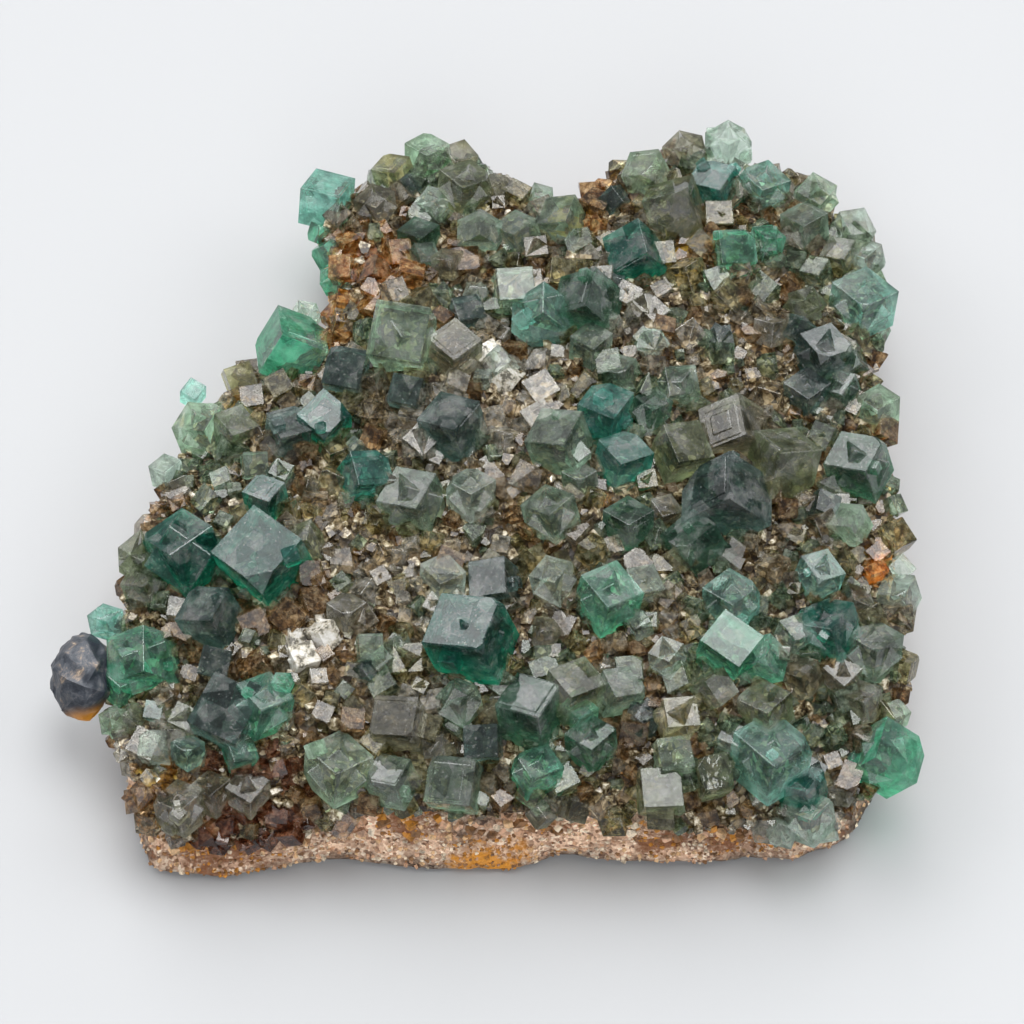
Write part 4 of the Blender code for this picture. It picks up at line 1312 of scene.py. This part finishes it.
def rock_grains(rock_piece, shards, chance):
    """Angular grains that stand out of the rock's broken sides, joined by colour."""
    mesh = rock_piece.data
    mesh.calc_loop_triangles()
    triangles = [t for t in mesh.loop_triangles if abs(t.normal.z) < GRAIN_LEVEL]
    triangles = [t for t in triangles if mesh.vertices[t.vertices[0]].co.z > GRAIN_LOWEST]
    areas = [t.area for t in triangles]
    placed = {}
    for triangle in chance.choices(triangles, areas, k=GRAIN_COUNT):
        corner = mesh.vertices[triangle.vertices[0]].co
        crumb = corner.z > CRUMB_FROM and chance.random() < CRUMB_SHARE
        edge = chance.uniform(*(CRUMB_EDGE if crumb else GRAIN_EDGE)) * MM
        place = corner - triangle.normal * GRAIN_SUNK * edge
        kind = chance.choices(list(GRAINS), GRAIN_WEIGHTS)[0]
        if any((place / MM - Vector(spot)).length < reach * STAINED_GRAINS
               for spot, reach, _ in SIDE_STAINS):
            kind = chance.choice(("ochre", "ochre", "umber", kind))
        number = chance.randrange(len(shards))
        placed.setdefault(kind, []).append((number, place, any_turn(chance), edge))
    for kind, rows in placed.items():
        joined("grains_" + kind, shards, rows, [GRAINS[kind]])


# The galena

def galena_lump():
    """The galena lump, lobed and rough."""
    piece = copy_of("galena_lump", "galena")
    bpy.ops.object.mode_set(mode="EDIT")
    bpy.ops.mesh.select_all(action="SELECT")
    bpy.ops.mesh.quads_convert_to_tris()
    bpy.ops.mesh.subdivide(number_cuts=GALENA_CUTS)
    bpy.ops.object.mode_set(mode="OBJECT")
    for vert, normal in zip(piece.data.vertices, normals_of(piece)):
        place = vert.co.copy()
        lobes = min(lumps(place, GALENA_LOBES), GALENA_HIGHEST)
        vert.co = place + normal * (lobes - GALENA_HIGHEST) * MM
    piece.data.materials.append(GALENA)
    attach(piece, "root")
    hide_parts("galena_lump")


# Studio

def key_lamp():
    """The key: a far lamp behind the specimen, high up."""
    towards, width, strength = KEY
    light = bpy.data.lights.new("lamp_key", "SUN")
    light.energy = strength
    light.angle = math.radians(width)
    thing = bpy.data.objects.new("lamp_key", light)
    bpy.context.scene.collection.objects.link(thing)
    thing.rotation_euler = Vector(towards).to_track_quat("Z", "Y").to_euler()


def surroundings():
    """The studio round the specimen: an even pale fill with soft bright panels in it."""
    world = bpy.data.worlds.new("studio")
    bpy.context.scene.world = world
    world.use_nodes = True
    tree = world.node_tree
    sky = add(tree, "TexCoord").outputs["Generated"]
    total = None
    for towards, core, fringe, radiance in PANELS:
        near = add(tree, "VectorMath", operation="DOT_PRODUCT")
        tree.links.new(sky, near.inputs[0])
        near.inputs[1].default_value = Vector(towards).normalized()
        edge = (math.cos(math.radians(fringe)), math.cos(math.radians(core)))
        panel = spread(tree, near.outputs["Value"], edge, (0, radiance), "SMOOTHSTEP")
        summed = add(tree, "Math", operation="ADD")
        tree.links.new(panel, summed.inputs[0])
        summed.inputs[1].default_value = FILL_RADIANCE
        if total:
            tree.links.new(total, summed.inputs[1])
        total = summed.outputs["Value"]
    background = tree.nodes["Background"]
    background.inputs["Color"].default_value = (*PANEL_COLOUR, 1)
    tree.links.new(total, background.inputs["Strength"])


def studio():
    """Pale floor, the key lamp, the surroundings and the camera."""
    bpy.ops.mesh.primitive_plane_add(size=FLOOR_SIZE)
    floor = bpy.context.object
    floor.name = "floor"
    made, _, shader, _ = new_material("floor_white", rough=0.9)
    shader.inputs["Base Color"].default_value = (*FLOOR_COLOUR, 1)
    shader.inputs["Specular IOR Level"].default_value = 0.1
    floor.data.materials.append(made)
    key_lamp()
    surroundings()

    camera = bpy.data.cameras.new("camera")
    camera.sensor_width = SENSOR_WIDTH
    camera.lens = SENSOR_WIDTH * CAMERA_DISTANCE / VIEW_WIDTH
    camera.clip_start = 0.01
    thing = bpy.data.objects.new("camera", camera)
    bpy.context.scene.collection.objects.link(thing)
    thing.location = VIEW_AIM + VIEW_TOWARDS * CAMERA_DISTANCE
    thing.rotation_euler = (math.pi / 2 - VIEW_ELEVATION, 0, 0)
    bpy.context.scene.camera = thing
    bpy.context.scene.view_settings.view_transform = "Standard"


# The specimen

CRYSTAL_TREES = {
    name: search_tree(thing) for name, thing in NODES.items()
    if name.split("_")[1] in ("crystal", "cluster")
}
chance = random.Random(SEED)
rock_piece = rock()
bed_piece = bed()
large = large_crystals(chance)
boxes = [inside_box(*row[1:]) for row in large]
seeds = crystal_seeds(chance)
shards = shard_seeds(chance)
boxes += middling_crystals(seeds, large, chance)
druse(bed_piece, seeds, shards, boxes, chance)
rock_grains(rock_piece, shards, chance)
galena_lump()
studio()
